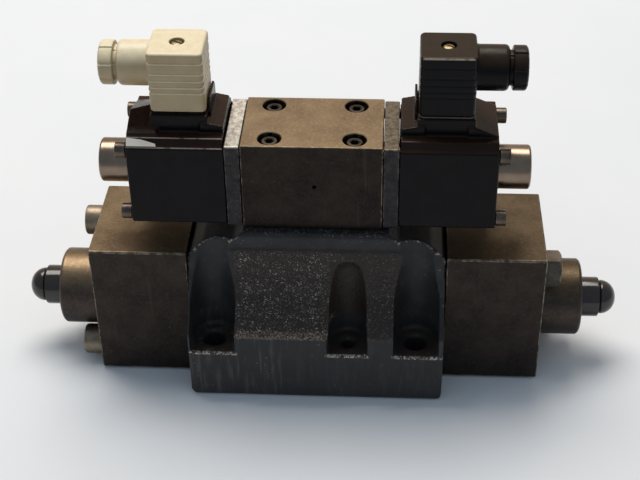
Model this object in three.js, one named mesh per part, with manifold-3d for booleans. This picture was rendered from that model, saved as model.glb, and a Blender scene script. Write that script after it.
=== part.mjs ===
// Two-stage solenoid directional valve, NG16 main stage with an NG6 pilot valve on top.
// Millimetres, +Z up. The origin is the middle of the main bolt pattern in the mounting face.
import * as THREE from 'three';
import { ConvexGeometry } from 'three/addons/geometries/ConvexGeometry.js';
import { mergeVertices } from 'three/addons/utils/BufferGeometryUtils.js';
import Module from 'manifold-3d';

const wasm = await Module();
wasm.setup();

// ---------- Driving dimensions ----------
const GAP = 0.3;                 // gap between pieces that touch
const ROUND = 16;                // sides of a large turned piece
const SMALL_ROUND = 10;          // sides of a bolt or a bolt hole
const DRILLING_ROUND = 6;        // sides of a small drilling

const MAIN_X = 0.8;              // middle of the main stage along X (the P port)
const MAIN_Z = 32.3;             // height of the main spool's axis
const CASTING_HALF_X = 63.8;
const CASTING_HALF_Y = 47.7;
const SEAT_Z = 88.5;             // top face, where the pilot valve sits
const POCKET_FLOOR_Z = 28.4;
const FOOT_EDGE_Z = 39.7;        // top of the foot's upright front face
const MAIN_BORE_R = 12.5;
const MAIN_STROKE = 7;

const BOLT_X = 50.8;             // ISO 4401-07 main bolts
const BOLT_Y = 34.95;
const BOLT_HOLE_R = 5.5;
const SMALL_BOLT_HOLE_R = 3.3;
const SMALL_BOLTS = [[16.7, -36.55], [0.8, 36.55]];
const PORTS = {                  // ISO 4401-07 main ports
  p: [0.8, -20.65],
  t: [32.5, -20.65],
  a: [16.7, 20.65],
  b: [-15.1, 20.65],
};
const PORT_R = 8.75;
const PILOT_PORTS = { x: [-25.8, -19.05], y: [-37.3, 22.25] };
const PILOT_PORT_R = 3.15;
const DRAIN_PORT = [50.8, 0];
const LOCATING_PIN_HOLES = [[-25.8, -34.95], [32.5, 34.95]];
const LOCATING_PIN_R = 2;
const SEAL_R = 12.25;             // O-ring 22 x 2.5 round a main port, squeezed by the plate below
const SMALL_SEAL_R = 6;           // O-ring 10 x 2 round a pilot port
const SEAL_SECTION_R = 1;
const SEAL_RECESS = 2.4;

const CAP_LENGTH = 49.3;
const CAP_HALF_Y = 29.5;
const CAP_BOTTOM_Z = 1;
const CAP_TOP_Z = 76.5;
const CAP_BOLT_Y = 17;
const CAP_BOLT_LOW_Z = 9.8;
const CAP_BOLT_HIGH_Z = 62.8;
const CAP_CHAMBER_R = 14;
const CAP_CHAMBER_DEPTH = 34;
const STROKE_BOSS_R = 19.75;
const STROKE_BOSS_LENGTH = 21;
const DOME_LENGTH = 18.8;

const PILOT_X = -1;              // middle of the pilot valve along X
const PILOT_HALF_X = 33.9;
const PILOT_HALF_Y = 23;
const PILOT_TOP_Z = 135.4;
const PILOT_Z = 112;             // height of the pilot spool's axis
const PILOT_BORE_R = 6;
const PILOT_SCREW_X = 20.25;     // ISO 4401-03 pattern
const PILOT_SCREW_Y = 15.5;
const PILOT_VALVE_PORTS = { p: [1.25, -10.4], t: [1.25, 10.4], a: [-7.55, 0], b: [9.95, 0] };
const PILOT_VALVE_PORT_R = 2.5;

const FLANGE_THICKNESS = 7.5;
const COIL_LENGTH = 46.7;
const COIL_HALF_Y = 23;
const COIL_HALF_Z = 21.7;
const COIL_DECK_Z = 137.2;       // flat top of the coil, inside its sloped edges
const COIL_WING_Z = 142.6;       // the raised wings beside the plug, next to the plug
const PEDESTAL_Z = 146;
const COIL_BORE_R = 11.2;
const COIL_SCREW_Y = 18.7;
const COIL_SCREW_Z = 17.6;
const TUBE_R = 10.9;
const TUBE_END_X = 105.2;        // tube's end, from the middle of the pilot valve
const ARMATURE_R = 7.5;

const PLUG_X = 63.2;             // plug's middle, from the middle of the pilot valve
const PLUG_HALF = 13.2;
const PLUG_BOTTOM_Z = 147.4;
const PLUG_TOP_Z = 178;
const GLAND_Z = 166.6;
const GLAND_R = 11.2;
const GLAND_LENGTH = 15;
const GLAND_NUT_R = 10.6;

// ---------- Materials ----------
const LOOKS = {
  casting: [0x232427, 0.55, 0.1],
  brownedSteel: [0x5c4e3c, 0.45, 0.8],
  blackSteel: [0x2b2724, 0.4, 0.8],
  brightSteel: [0xb9b4ab, 0.25, 1],
  springSteel: [0x8b8d90, 0.3, 1],
  flangeGrey: [0x77777a, 0.5, 0.6],
  coilBlack: [0x17181c, 0.35, 0],
  plugIvory: [0xcfc2a4, 0.5, 0],
  plugBlack: [0x1c1a1a, 0.35, 0],
  brass: [0xb99a5a, 0.35, 1],
  rubber: [0x0d0d0e, 0.8, 0],
  domeBlack: [0x0c0c0e, 0.12, 0],
};

const valve = new THREE.Group();

function addMesh(name, geometry, look) {
  const [color, roughness, metalness] = LOOKS[look];
  const material = new THREE.MeshStandardMaterial({ color, roughness, metalness });
  const shape = closed(geometry);
  shape.computeVertexNormals();
  const mesh = new THREE.Mesh(shape, material);
  mesh.name = name;
  valve.add(mesh);
}

// ---------- Shape helpers ----------
function signedVolume(geometry) {
  const corners = ['a', 'b', 'c'].map(() => new THREE.Vector3());
  const { position } = geometry.attributes;
  let volume = 0;
  for (let i = 0; i < geometry.index.count; i += 3) {
    corners.forEach((corner, k) => corner.fromBufferAttribute(position, geometry.index.getX(i + k)));
    volume += corners[0].dot(corners[1].cross(corners[2])) / 6;
  }
  return volume;
}

// Shared vertices merged, flat triangles dropped and every face turned outwards.
function closed(geometry) {
  geometry.deleteAttribute('normal');
  geometry.deleteAttribute('uv');
  const merged = mergeVertices(geometry, 1e-4);
  const kept = [];
  for (let i = 0; i < merged.index.count; i += 3) {
    const [a, b, c] = [0, 1, 2].map((k) => merged.index.getX(i + k));
    if (a !== b && b !== c && c !== a) kept.push(a, b, c);
  }
  merged.setIndex(kept);
  if (signedVolume(merged) < 0) merged.setIndex(kept.reverse());
  return merged;
}

function toSolid(geometry) {
  const merged = closed(geometry);
  return new wasm.Manifold(new wasm.Mesh({
    numProp: 3,
    vertProperties: new Float32Array(merged.attributes.position.array),
    triVerts: new Uint32Array(merged.index.array),
  }));
}

function toGeometry(solid) {
  const mesh = solid.getMesh();
  const geometry = new THREE.BufferGeometry();
  geometry.setAttribute('position', new THREE.BufferAttribute(mesh.vertProperties, 3));
  geometry.setIndex(new THREE.BufferAttribute(mesh.triVerts, 1));
  return geometry;
}

// The base piece with every piece in joins added and every piece in cuts taken away.
function carve(base, joins, cuts) {
  let solid = base instanceof THREE.BufferGeometry ? toSolid(base) : base;
  for (const join of joins) solid = solid.add(toSolid(join));
  for (const cut of cuts) solid = solid.subtract(toSolid(cut));
  return toGeometry(solid);
}

const TURN_TO_AXIS = {
  x: (geometry) => geometry.rotateZ(-Math.PI / 2),
  y: (geometry) => geometry,
  z: (geometry) => geometry.rotateX(Math.PI / 2),
};

// A turned piece: profile is [radius, place along the axis], from the axis back to the axis,
// or a loop that closes on itself.
function turned(axis, profile, center, segments = ROUND) {
  const points = profile.map(([radius, along]) => new THREE.Vector2(radius, along));
  const geometry = new THREE.LatheGeometry(points, segments);
  TURN_TO_AXIS[axis](geometry);
  return geometry.translate(...center);
}

function rod(axis, radius, from, to, center, segments = ROUND) {
  const profile = [[0, from], [radius, from], [radius, to], [0, to]];
  return turned(axis, profile, center, segments);
}

function rodBetween(radius, start, end, segments = DRILLING_ROUND) {
  const a = new THREE.Vector3(...start);
  const b = new THREE.Vector3(...end);
  const path = b.clone().sub(a);
  const geometry = new THREE.CylinderGeometry(radius, radius, path.length(), segments);
  const up = new THREE.Vector3(0, 1, 0);
  geometry.applyQuaternion(new THREE.Quaternion().setFromUnitVectors(up, path.clone().normalize()));
  return geometry.translate(...a.add(b).divideScalar(2).toArray());
}

function block(low, high) {
  const size = high.map((value, i) => value - low[i]);
  const middle = high.map((value, i) => (value + low[i]) / 2);
  return new THREE.BoxGeometry(...size).translate(...middle);
}

function outline(points) {
  return new THREE.Shape(points.map(([u, v]) => new THREE.Vector2(u, v)));
}

function roundedRectangle(halfU, halfV, radius) {
  const shape = new THREE.Shape();
  shape.moveTo(halfU - radius, -halfV);
  shape.absarc(halfU - radius, -halfV + radius, radius, -Math.PI / 2, 0, false);
  shape.absarc(halfU - radius, halfV - radius, radius, 0, Math.PI / 2, false);
  shape.absarc(-halfU + radius, halfV - radius, radius, Math.PI / 2, Math.PI, false);
  shape.absarc(-halfU + radius, -halfV + radius, radius, Math.PI, 1.5 * Math.PI, false);
  return shape;
}

// Extrudes a shape along +Z from low to high, its edges rounded by bevel at both ends.
function slab(shape, low, high, bevel = 0) {
  const geometry = new THREE.ExtrudeGeometry(shape, {
    depth: high - low - 2 * bevel,
    curveSegments: 1,
    bevelEnabled: bevel > 0,
    bevelThickness: bevel,
    bevelSize: bevel,
    bevelOffset: -bevel,
    bevelSegments: 1,
  });
  return geometry.translate(0, 0, low + bevel);
}

// The same, standing: the shape lies in X and Z and runs along Y from low to high.
function slabAlongY(shape, low, high, bevel = 0) {
  return slab(shape, -high, -low, bevel).rotateX(Math.PI / 2);
}

// The shape lies in Y and Z and runs along X from low to high.
function slabAlongX(shape, low, high, bevel = 0) {
  return slab(shape, low, high, bevel).rotateX(Math.PI / 2).rotateZ(Math.PI / 2);
}

function ring(radius, sectionRadius, center) {
  return new THREE.TorusGeometry(radius, sectionRadius, 5, ROUND).translate(...center);
}

class Helix extends THREE.Curve {
  constructor(radius, start, length, turns, y, z) {
    super();
    Object.assign(this, { radius, start, length, turns, y, z });
  }

  getPoint(t, target = new THREE.Vector3()) {
    const angle = 2 * Math.PI * this.turns * t;
    return target.set(
      this.start + this.length * t,
      this.y + this.radius * Math.cos(angle),
      this.z + this.radius * Math.sin(angle),
    );
  }
}

function spring(radius, wireRadius, start, length, turns, z) {
  const wire = new THREE.Shape();
  wire.absarc(0, 0, wireRadius, 0, 2 * Math.PI, false);
  return new THREE.ExtrudeGeometry(wire, {
    steps: turns * 8,
    extrudePath: new Helix(radius, start, length, turns, 0, z),
    curveSegments: 2,
    bevelEnabled: false,
  });
}

// A socket screw whose head ends at top and whose shank reaches shankLength below the head's seat.
// direction is +1 when the head points along +axis and -1 when it points the other way.
function socketScrew(axis, direction, size, seat, shankLength, center) {
  const headR = 0.78 * size;
  const headHeight = size;
  const socketR = 0.43 * size;
  const chamfer = 0.08 * size;
  const along = (distance) => direction * distance;
  const profile = [
    [0, along(-shankLength)], [size / 2, along(-shankLength)], [size / 2, 0], [headR, 0],
    [headR, along(headHeight - chamfer)], [headR - chamfer, along(headHeight)], [0, along(headHeight)],
  ];
  const place = [...center];
  place['xyz'.indexOf(axis)] += seat;
  const body = turned(axis, profile, place, SMALL_ROUND);
  const from = along(0.45 * headHeight);
  const to = along(headHeight + 1);
  const socket = rod(axis, socketR, Math.min(from, to), Math.max(from, to), place, 6);
  return carve(body, [], [socket]);
}

// A hexagon bolt along X with a round washer face under its head.
function hexBolt(direction, size, shankLength, center) {
  const washerHeight = 1;
  const headHeight = 0.68 * size;
  const cornerR = 0.93 * size;
  const profile = [
    [0, -direction * shankLength], [size / 2, -direction * shankLength], [size / 2, 0],
    [0.82 * size, 0], [0.82 * size, direction * washerHeight], [0, direction * washerHeight],
  ];
  const from = Math.min(direction * 0.5 * washerHeight, direction * (washerHeight + headHeight));
  const to = Math.max(direction * 0.5 * washerHeight, direction * (washerHeight + headHeight));
  const head = rod('x', cornerR, from, to, center, 6);
  return carve(turned('x', profile, center, SMALL_ROUND), [head], []);
}

function hull(points) {
  return new ConvexGeometry(points.map((point) => new THREE.Vector3(...point)));
}

function circlePoints(x, y, z, radius, count = 12) {
  return Array.from({ length: count }, (_, i) => {
    const angle = (2 * Math.PI * i) / count;
    return [x + radius * Math.cos(angle), y + radius * Math.sin(angle), z];
  });
}

const mirrored = (points) => [...points, ...points.map(([u, v]) => [-u, v]).reverse()];

// ---------- Main stage ----------
const CAP_FACE = CASTING_HALF_X + GAP;         // the cap's inner face, from the middle
const CAP_END = CASTING_HALF_X + CAP_LENGTH;   // the cap's outer face
const CHAMBER_END = CAP_FACE + CAP_CHAMBER_DEPTH;
const SPOOL_HALF = 56;
const SPRING_PLATE = 3;
const SPRING_R = 11;
const SPRING_WIRE_R = 1.15;
const SPRING_TURNS = 5;
const PLATE_FACE = SPOOL_HALF + GAP + SPRING_PLATE;
const STOP_FACE = PLATE_FACE + MAIN_STROKE + GAP;
const STROKE_SCREW_R = 6;
const BOSS_END = CAP_END + GAP + STROKE_BOSS_LENGTH;
const SPIGOT_R = 9;
const CHANNEL_Z = 66;
const CHANNEL_R = 2.5;
const LAND_SPACING = 16.4;
const TANK_GROOVE_X = 34;
const GROOVE_R = MAIN_BORE_R + 4.5;            // ring grooves in the main bore
const GROOVE_WIDTH = 8;
const TANK_CHANNEL_Z = 53;                     // joins the two tank grooves
const TANK_CHANNEL_R = 3;
const POCKET_R = 11.2;
const SMALL_POCKET_R = 9.8;
const SMALL_POCKET_TOP = { z: 74, radius: 3.2, shift: 6 };
const SPOT_FACE_R = 8;
const SMALL_SPOT_FACE_R = 6;
const SPOT_FACE_DEPTH = 0.6;
const SHORT_HOLE_DEPTH = 8;
const CAP_BOLT_SIZE = 10;
const CAP_BOLT_REACH = CAP_LENGTH + 12;
const CAP_SEAL_R = 17.5;

// Casting seen from the front: a flat seat with shoulders that fall away to the caps.
function castingFront() {
  const half = CASTING_HALF_X;
  return outline(mirrored([
    [half - 1.6, 0], [half, 3], [half, 73.5], [half - 2, 76.5], [half - 7.5, 81],
    [half - 13.5, 82.8], [half - 23.5, 85], [half - 28.5, SEAT_Z],
  ]));
}

// Casting seen from the side: an upright foot, a panel that leans back and a lip under the seat.
function castingSide() {
  const foot = CASTING_HALF_Y;
  return outline(mirrored([
    [foot - 1, 0], [foot, 1.5], [foot, FOOT_EDGE_Z], [foot - 7.7, 46], [foot - 14.2, 54.5],
    [foot - 18.7, 65], [foot - 20.9, 76], [foot - 19.4, 80.5], [foot - 19.4, 86.8], [foot - 21.2, SEAT_Z],
  ]));
}

// A pocket that lets a bolt in from above and opens to the front or the back.
function boltPocket(x, y, radius, topY, topRadius, topZ) {
  const out = Math.sign(y) * 25;
  const floor = circlePoints(x, y, POCKET_FLOOR_Z, radius);
  const top = circlePoints(x, topY, topZ, topRadius);
  const moved = [...floor, ...top].map(([px, py, pz]) => [px, py + out, pz]);
  return hull([...floor, ...top, ...moved]);
}

function boltHole(x, y, radius, spotFaceR) {
  const top = POCKET_FLOOR_Z + 1;
  return [
    rod('z', radius, -1, top, [x, y, 0], SMALL_ROUND),
    rod('z', spotFaceR, POCKET_FLOOR_Z - SPOT_FACE_DEPTH, top, [x, y, 0], SMALL_ROUND),
  ];
}

function castingPockets() {
  const cuts = [];
  for (const sx of [-1, 1]) {
    for (const sy of [-1, 1]) {
      const x = sx * BOLT_X;
      const y = sy * BOLT_Y;
      cuts.push(boltPocket(x, y, POCKET_R, y, POCKET_R, SEAT_Z + 5));
      cuts.push(...boltHole(x, y, BOLT_HOLE_R, SPOT_FACE_R));
    }
  }
  for (const [x, y] of SMALL_BOLTS) {
    const top = SMALL_POCKET_TOP;
    cuts.push(boltPocket(x, y, SMALL_POCKET_R, y - Math.sign(y) * top.shift, top.radius, top.z));
    cuts.push(...boltHole(x, y, SMALL_BOLT_HOLE_R, SMALL_SPOT_FACE_R));
  }
  return cuts;
}

function castingPorts() {
  const cuts = [];
  for (const [x, y] of Object.values(PORTS)) {
    cuts.push(rod('z', PORT_R, -1, MAIN_Z + 3.5, [x, y, 0]));
    cuts.push(rod('z', SEAL_R + 1.5, -1, SEAL_RECESS, [x, y, 0]));
  }
  for (const [x, y] of Object.values(PILOT_PORTS)) {
    cuts.push(rod('z', PILOT_PORT_R, -1, CHANNEL_Z, [x, y, 0], SMALL_ROUND));
    cuts.push(rod('z', SMALL_SEAL_R + 1.3, -1, SEAL_RECESS, [x, y, 0]));
  }
  cuts.push(rod('z', PILOT_PORT_R, -1, SHORT_HOLE_DEPTH, [...DRAIN_PORT, 0], SMALL_ROUND));
  for (const [x, y] of LOCATING_PIN_HOLES) {
    cuts.push(rod('z', LOCATING_PIN_R, -1, SHORT_HOLE_DEPTH, [x, y, 0], DRILLING_ROUND));
  }
  return cuts;
}

function castingBore() {
  const cuts = [rod('x', MAIN_BORE_R, -CASTING_HALF_X - 1, CASTING_HALF_X + 1, [MAIN_X, 0, MAIN_Z])];
  for (const x of [-TANK_GROOVE_X, -LAND_SPACING, 0, LAND_SPACING, TANK_GROOVE_X]) {
    const from = x - GROOVE_WIDTH / 2;
    cuts.push(rod('x', GROOVE_R, from, from + GROOVE_WIDTH, [MAIN_X, 0, MAIN_Z]));
  }
  const left = MAIN_X - TANK_GROOVE_X;
  const right = MAIN_X + TANK_GROOVE_X;
  cuts.push(rodBetween(TANK_CHANNEL_R, [left, 0, TANK_CHANNEL_Z], [right, 0, TANK_CHANNEL_Z]));
  for (const x of [left, right]) {
    cuts.push(rodBetween(TANK_CHANNEL_R, [x, 0, TANK_CHANNEL_Z], [x, 0, MAIN_Z + GROOVE_R - 3]));
  }
  return cuts;
}

// Drillings from the pilot seat: P and T to the X and Y ports, A and B out to the end caps.
function pilotDrillings() {
  const cuts = [];
  const seat = Object.fromEntries(Object.entries(PILOT_VALVE_PORTS)
    .map(([name, [x, y]]) => [name, [PILOT_X + x, y]]));
  for (const [x, y] of Object.values(seat)) {
    cuts.push(rodBetween(CHANNEL_R, [x, y, CHANNEL_Z - 2], [x, y, SEAT_Z + 1]));
  }
  const side = CASTING_HALF_X + 1;
  cuts.push(rodBetween(CHANNEL_R, [...seat.a, CHANNEL_Z], [MAIN_X - side, 0, CHANNEL_Z]));
  cuts.push(rodBetween(CHANNEL_R, [...seat.b, CHANNEL_Z], [MAIN_X + side, 0, CHANNEL_Z]));
  cuts.push(rodBetween(CHANNEL_R, [...seat.p, CHANNEL_Z - 2], [...PILOT_PORTS.x, CHANNEL_Z - 4]));
  cuts.push(rodBetween(CHANNEL_R, [...seat.t, CHANNEL_Z - 2], [...PILOT_PORTS.y, CHANNEL_Z - 4]));
  for (const sx of [-1, 1]) {
    for (const sy of [-1, 1]) {
      const place = [PILOT_X + sx * PILOT_SCREW_X, sy * PILOT_SCREW_Y, 0];
      cuts.push(rod('z', 2.8, SEAT_Z - 14, SEAT_Z + 1, place, SMALL_ROUND));
    }
  }
  return cuts;
}

// Two bolts per cap, on one diagonal. The right cap is the left one turned half a turn about Z.
function capBoltPlaces(side) {
  return {
    top: [-side * CAP_BOLT_Y, CAP_BOLT_HIGH_Z],
    bottom: [side * CAP_BOLT_Y, CAP_BOLT_LOW_Z],
  };
}

function capBoltThreads() {
  const cuts = [];
  for (const side of [-1, 1]) {
    for (const [y, z] of Object.values(capBoltPlaces(side))) {
      const deep = side * (CASTING_HALF_X - 15);
      const out = side * (CASTING_HALF_X + 1);
      cuts.push(rod('x', 5.3, Math.min(deep, out), Math.max(deep, out), [MAIN_X, y, z], SMALL_ROUND));
    }
  }
  return cuts;
}

function addMainBody() {
  const front = slabAlongY(castingFront(), -CASTING_HALF_Y, CASTING_HALF_Y).translate(MAIN_X, 0, 0);
  const side = slabAlongX(castingSide(), -CASTING_HALF_X, CASTING_HALF_X).translate(MAIN_X, 0, 0);
  const casting = toSolid(front).intersect(toSolid(side));
  const cuts = [
    ...castingPockets(), ...castingPorts(), ...castingBore(), ...pilotDrillings(), ...capBoltThreads(),
  ];
  addMesh('main_body', carve(casting, [], cuts), 'casting');
}

function addMainSpool() {
  const landR = MAIN_BORE_R - 0.1;
  const neckR = 8;
  const profile = mirrored([
    [SPOOL_HALF, 0], [SPOOL_HALF, landR], [40.5, landR], [40.5, neckR],
    [LAND_SPACING + 5, neckR], [LAND_SPACING + 5, landR], [LAND_SPACING - 5, landR],
    [LAND_SPACING - 5, neckR],
  ]).map(([along, radius]) => [radius, along]);
  addMesh('main_spool', turned('x', profile, [MAIN_X, 0, MAIN_Z]), 'brightSteel');
}

function addPortSeals() {
  const z = SEAL_SECTION_R + 0.1;
  for (const [name, place] of Object.entries(PORTS)) {
    addMesh(`port_seal_${name}`, ring(SEAL_R, SEAL_SECTION_R, [...place, z]), 'rubber');
  }
  for (const [name, place] of Object.entries(PILOT_PORTS)) {
    addMesh(`port_seal_${name}`, ring(SMALL_SEAL_R, SEAL_SECTION_R, [...place, z]), 'rubber');
  }
}

function endCap(side) {
  const shape = roundedRectangle(CAP_HALF_Y, (CAP_TOP_Z - CAP_BOTTOM_Z) / 2, 1.5);
  const from = Math.min(side * CAP_FACE, side * CAP_END);
  const to = Math.max(side * CAP_FACE, side * CAP_END);
  const body = slabAlongX(shape, from, to, 0.8).translate(MAIN_X, 0, (CAP_TOP_Z + CAP_BOTTOM_Z) / 2);
  const along = (a, b) => [Math.min(side * a, side * b), Math.max(side * a, side * b)];
  const axis = [MAIN_X, 0, MAIN_Z];
  const channelX = MAIN_X + side * (CAP_FACE + 9);
  const cuts = [
    rod('x', CAP_CHAMBER_R, ...along(CAP_FACE - 1, CHAMBER_END), axis),
    rod('x', SPIGOT_R + GAP, ...along(CHAMBER_END - 1, CAP_END + 1), axis),
    rodBetween(CHANNEL_R, [MAIN_X + side * (CAP_FACE - 1), 0, CHANNEL_Z], [channelX, 0, CHANNEL_Z]),
    rodBetween(CHANNEL_R, [channelX, 0, CHANNEL_Z + 2], [channelX, 0, MAIN_Z + 10]),
    sealGroove(side),
  ];
  for (const [y, z] of Object.values(capBoltPlaces(side))) {
    cuts.push(rod('x', 5.5, ...along(CAP_FACE - 1, CAP_END + 1), [MAIN_X, y, z], SMALL_ROUND));
  }
  return carve(body, [], cuts);
}

function sealGroove(side) {
  const deep = side * (CAP_FACE + SEAL_RECESS);
  const out = side * (CAP_FACE - 1);
  const low = Math.min(deep, out);
  const high = Math.max(deep, out);
  const half = SEAL_SECTION_R + GAP;
  const profile = [
    [CAP_SEAL_R - half, low], [CAP_SEAL_R + half, low], [CAP_SEAL_R + half, high],
    [CAP_SEAL_R - half, high], [CAP_SEAL_R - half, low],
  ];
  return turned('x', profile, [MAIN_X, 0, MAIN_Z]);
}

function strokeHousing(side) {
  const profile = [
    [STROKE_SCREW_R + GAP, CAP_END - 11], [SPIGOT_R, CAP_END - 11], [SPIGOT_R, CAP_END + GAP],
    [STROKE_BOSS_R - 0.6, CAP_END + GAP], [STROKE_BOSS_R, CAP_END + GAP + 0.6],
    [STROKE_BOSS_R, BOSS_END - 1], [STROKE_BOSS_R - 1, BOSS_END], [STROKE_SCREW_R + GAP, BOSS_END],
    [STROKE_SCREW_R + GAP, CAP_END - 11],
  ];
  return turnedOutwards(side, profile, [MAIN_X, 0, MAIN_Z], 24);
}

// A profile given for the right-hand side, turned about X and mirrored for the left-hand side.
function turnedOutwards(side, profile, center, segments = ROUND) {
  return turned('x', profile.map(([radius, along]) => [radius, side * along]), center, segments);
}

function strokeScrew(side) {
  const end = BOSS_END + 6;
  const profile = [
    [0, STOP_FACE], [STROKE_SCREW_R - 1, STOP_FACE], [STROKE_SCREW_R, STOP_FACE + 1],
    [STROKE_SCREW_R, end - 1], [STROKE_SCREW_R - 1, end], [0, end],
  ];
  const body = turnedOutwards(side, profile, [MAIN_X, 0, MAIN_Z], SMALL_ROUND);
  const low = Math.min(side * (end - 4), side * (end + 1));
  const high = Math.max(side * (end - 4), side * (end + 1));
  return carve(body, [], [rod('x', 3, low, high, [MAIN_X, 0, MAIN_Z], 6)]);
}

// A collar with a rounded dome on it, hollow from the inner end.
function domeCap(side) {
  const start = BOSS_END + GAP;
  const collarR = 10.3;
  const domeR = 8.8;
  const collarEnd = start + 10;
  const end = start + DOME_LENGTH;
  const dome = [];
  const round = 7;
  const steps = 4;
  for (let i = 0; i < steps; i += 1) {
    const angle = (i / steps) * (Math.PI / 2);
    dome.push([domeR - round + round * Math.cos(angle), end - round + round * Math.sin(angle)]);
  }
  dome.push([domeR - round, end]);
  const profile = [
    [0, start + 11.5], [STROKE_SCREW_R + 0.6, start + 11.5], [STROKE_SCREW_R + 0.6, start],
    [collarR, start], [collarR, collarEnd - 0.8], [collarR - 0.8, collarEnd],
    [domeR - 0.9, collarEnd], [domeR, collarEnd + 0.9], ...dome, [0, end],
  ];
  return turnedOutwards(side, profile, [MAIN_X, 0, MAIN_Z]);
}

function springPlate(side) {
  const inner = SPOOL_HALF + GAP;
  const profile = [
    [0, inner], [MAIN_BORE_R - 0.1, inner], [MAIN_BORE_R - 0.1, PLATE_FACE],
    [SPRING_R - SPRING_WIRE_R - 1, PLATE_FACE], [SPRING_R - SPRING_WIRE_R - 1, PLATE_FACE + 3],
    [STROKE_SCREW_R + 0.6, PLATE_FACE + 3], [STROKE_SCREW_R + 0.6, PLATE_FACE], [0, PLATE_FACE],
  ];
  return turnedOutwards(side, profile, [MAIN_X, 0, MAIN_Z]);
}

function addMainEnd(side, name) {
  addMesh(`end_cap_${name}`, endCap(side), 'brownedSteel');
  const sealX = MAIN_X + side * (CAP_FACE + 0.1 + SEAL_SECTION_R);
  const seal = ring(CAP_SEAL_R, SEAL_SECTION_R, [0, 0, 0]).rotateY(Math.PI / 2);
  addMesh(`cap_seal_${name}`, seal.translate(sealX, 0, MAIN_Z), 'rubber');
  for (const [place, [y, z]] of Object.entries(capBoltPlaces(side))) {
    const seat = [MAIN_X + side * (CAP_END + GAP), y, z];
    const isHexagon = side > 0 && place === 'top';
    const bolt = isHexagon
      ? hexBolt(side, CAP_BOLT_SIZE, CAP_BOLT_REACH, seat)
      : socketScrew('x', side, CAP_BOLT_SIZE, 0, CAP_BOLT_REACH, seat);
    addMesh(`cap_bolt_${name}_${place}`, bolt, 'blackSteel');
  }
  addMesh(`spring_plate_${name}`, springPlate(side), 'brightSteel');
  const springStart = MAIN_X + side * (PLATE_FACE + SPRING_WIRE_R + GAP);
  const springLength = side * (CHAMBER_END - PLATE_FACE - 2 * (SPRING_WIRE_R + GAP));
  const mainSpring = spring(SPRING_R, SPRING_WIRE_R, springStart, springLength, SPRING_TURNS, MAIN_Z);
  addMesh(`main_spring_${name}`, mainSpring, 'springSteel');
  addMesh(`stroke_housing_${name}`, strokeHousing(side), 'brownedSteel');
  addMesh(`stroke_screw_${name}`, strokeScrew(side), 'brightSteel');
  addMesh(`dome_cap_${name}`, domeCap(side), 'domeBlack');
}

// ---------- Pilot valve ----------
const FLANGE_INNER = PILOT_HALF_X + GAP;          // all from the middle of the pilot valve
const FLANGE_OUTER = FLANGE_INNER + FLANGE_THICKNESS - GAP;
const COIL_INNER = FLANGE_OUTER + GAP;
const COIL_OUTER = COIL_INNER + COIL_LENGTH;
const COIL_DECK_Y = 19.5;
const WING_Y = 15;
const WING_DROP_OUTER = 4.8;      // how far a wing falls to the coil's outer end, and to the flange
const WING_DROP_INNER = 1.6;
const COIL_EDGE = 0.4;
const PEDESTAL_HALF_Y = 14;
const TUBE_INNER = 26.3;
const TUBE_SOCKET_R = 11.2;
const PUSH_PIN_R = 1.8;
const PILOT_SPOOL_HALF = 15;
const ARMATURE_START = 54;
const ARMATURE_END = 88;
const TUBE_CHAMBER_START = 50;
const TUBE_CHAMBER_END = 94;
const OVERRIDE_R = 2.4;
const OVERRIDE_END = 104;
const PILOT_SCREW_SIZE = 5;
const PILOT_SCREW_SEAT_Z = PILOT_TOP_Z - 6.5;
const COIL_SCREW_REACH = 6;
const PLUG_WALL = 2;
const PLUG_SCREW_HEAD_R = 2.9;
const SPOOL_LANDS = [[-10.6, -4.6], [7, 13]];
const PILOT_AXIS = [PILOT_X, 0, PILOT_Z];

function coilScrewPlaces() {
  const places = [];
  for (const sz of [1, -1]) {
    for (const sy of [-1, 1]) places.push([sy * COIL_SCREW_Y, PILOT_Z + sz * COIL_SCREW_Z]);
  }
  return places;
}

function alongSide(side, a, b) {
  return [Math.min(side * a, side * b), Math.max(side * a, side * b)];
}

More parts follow.
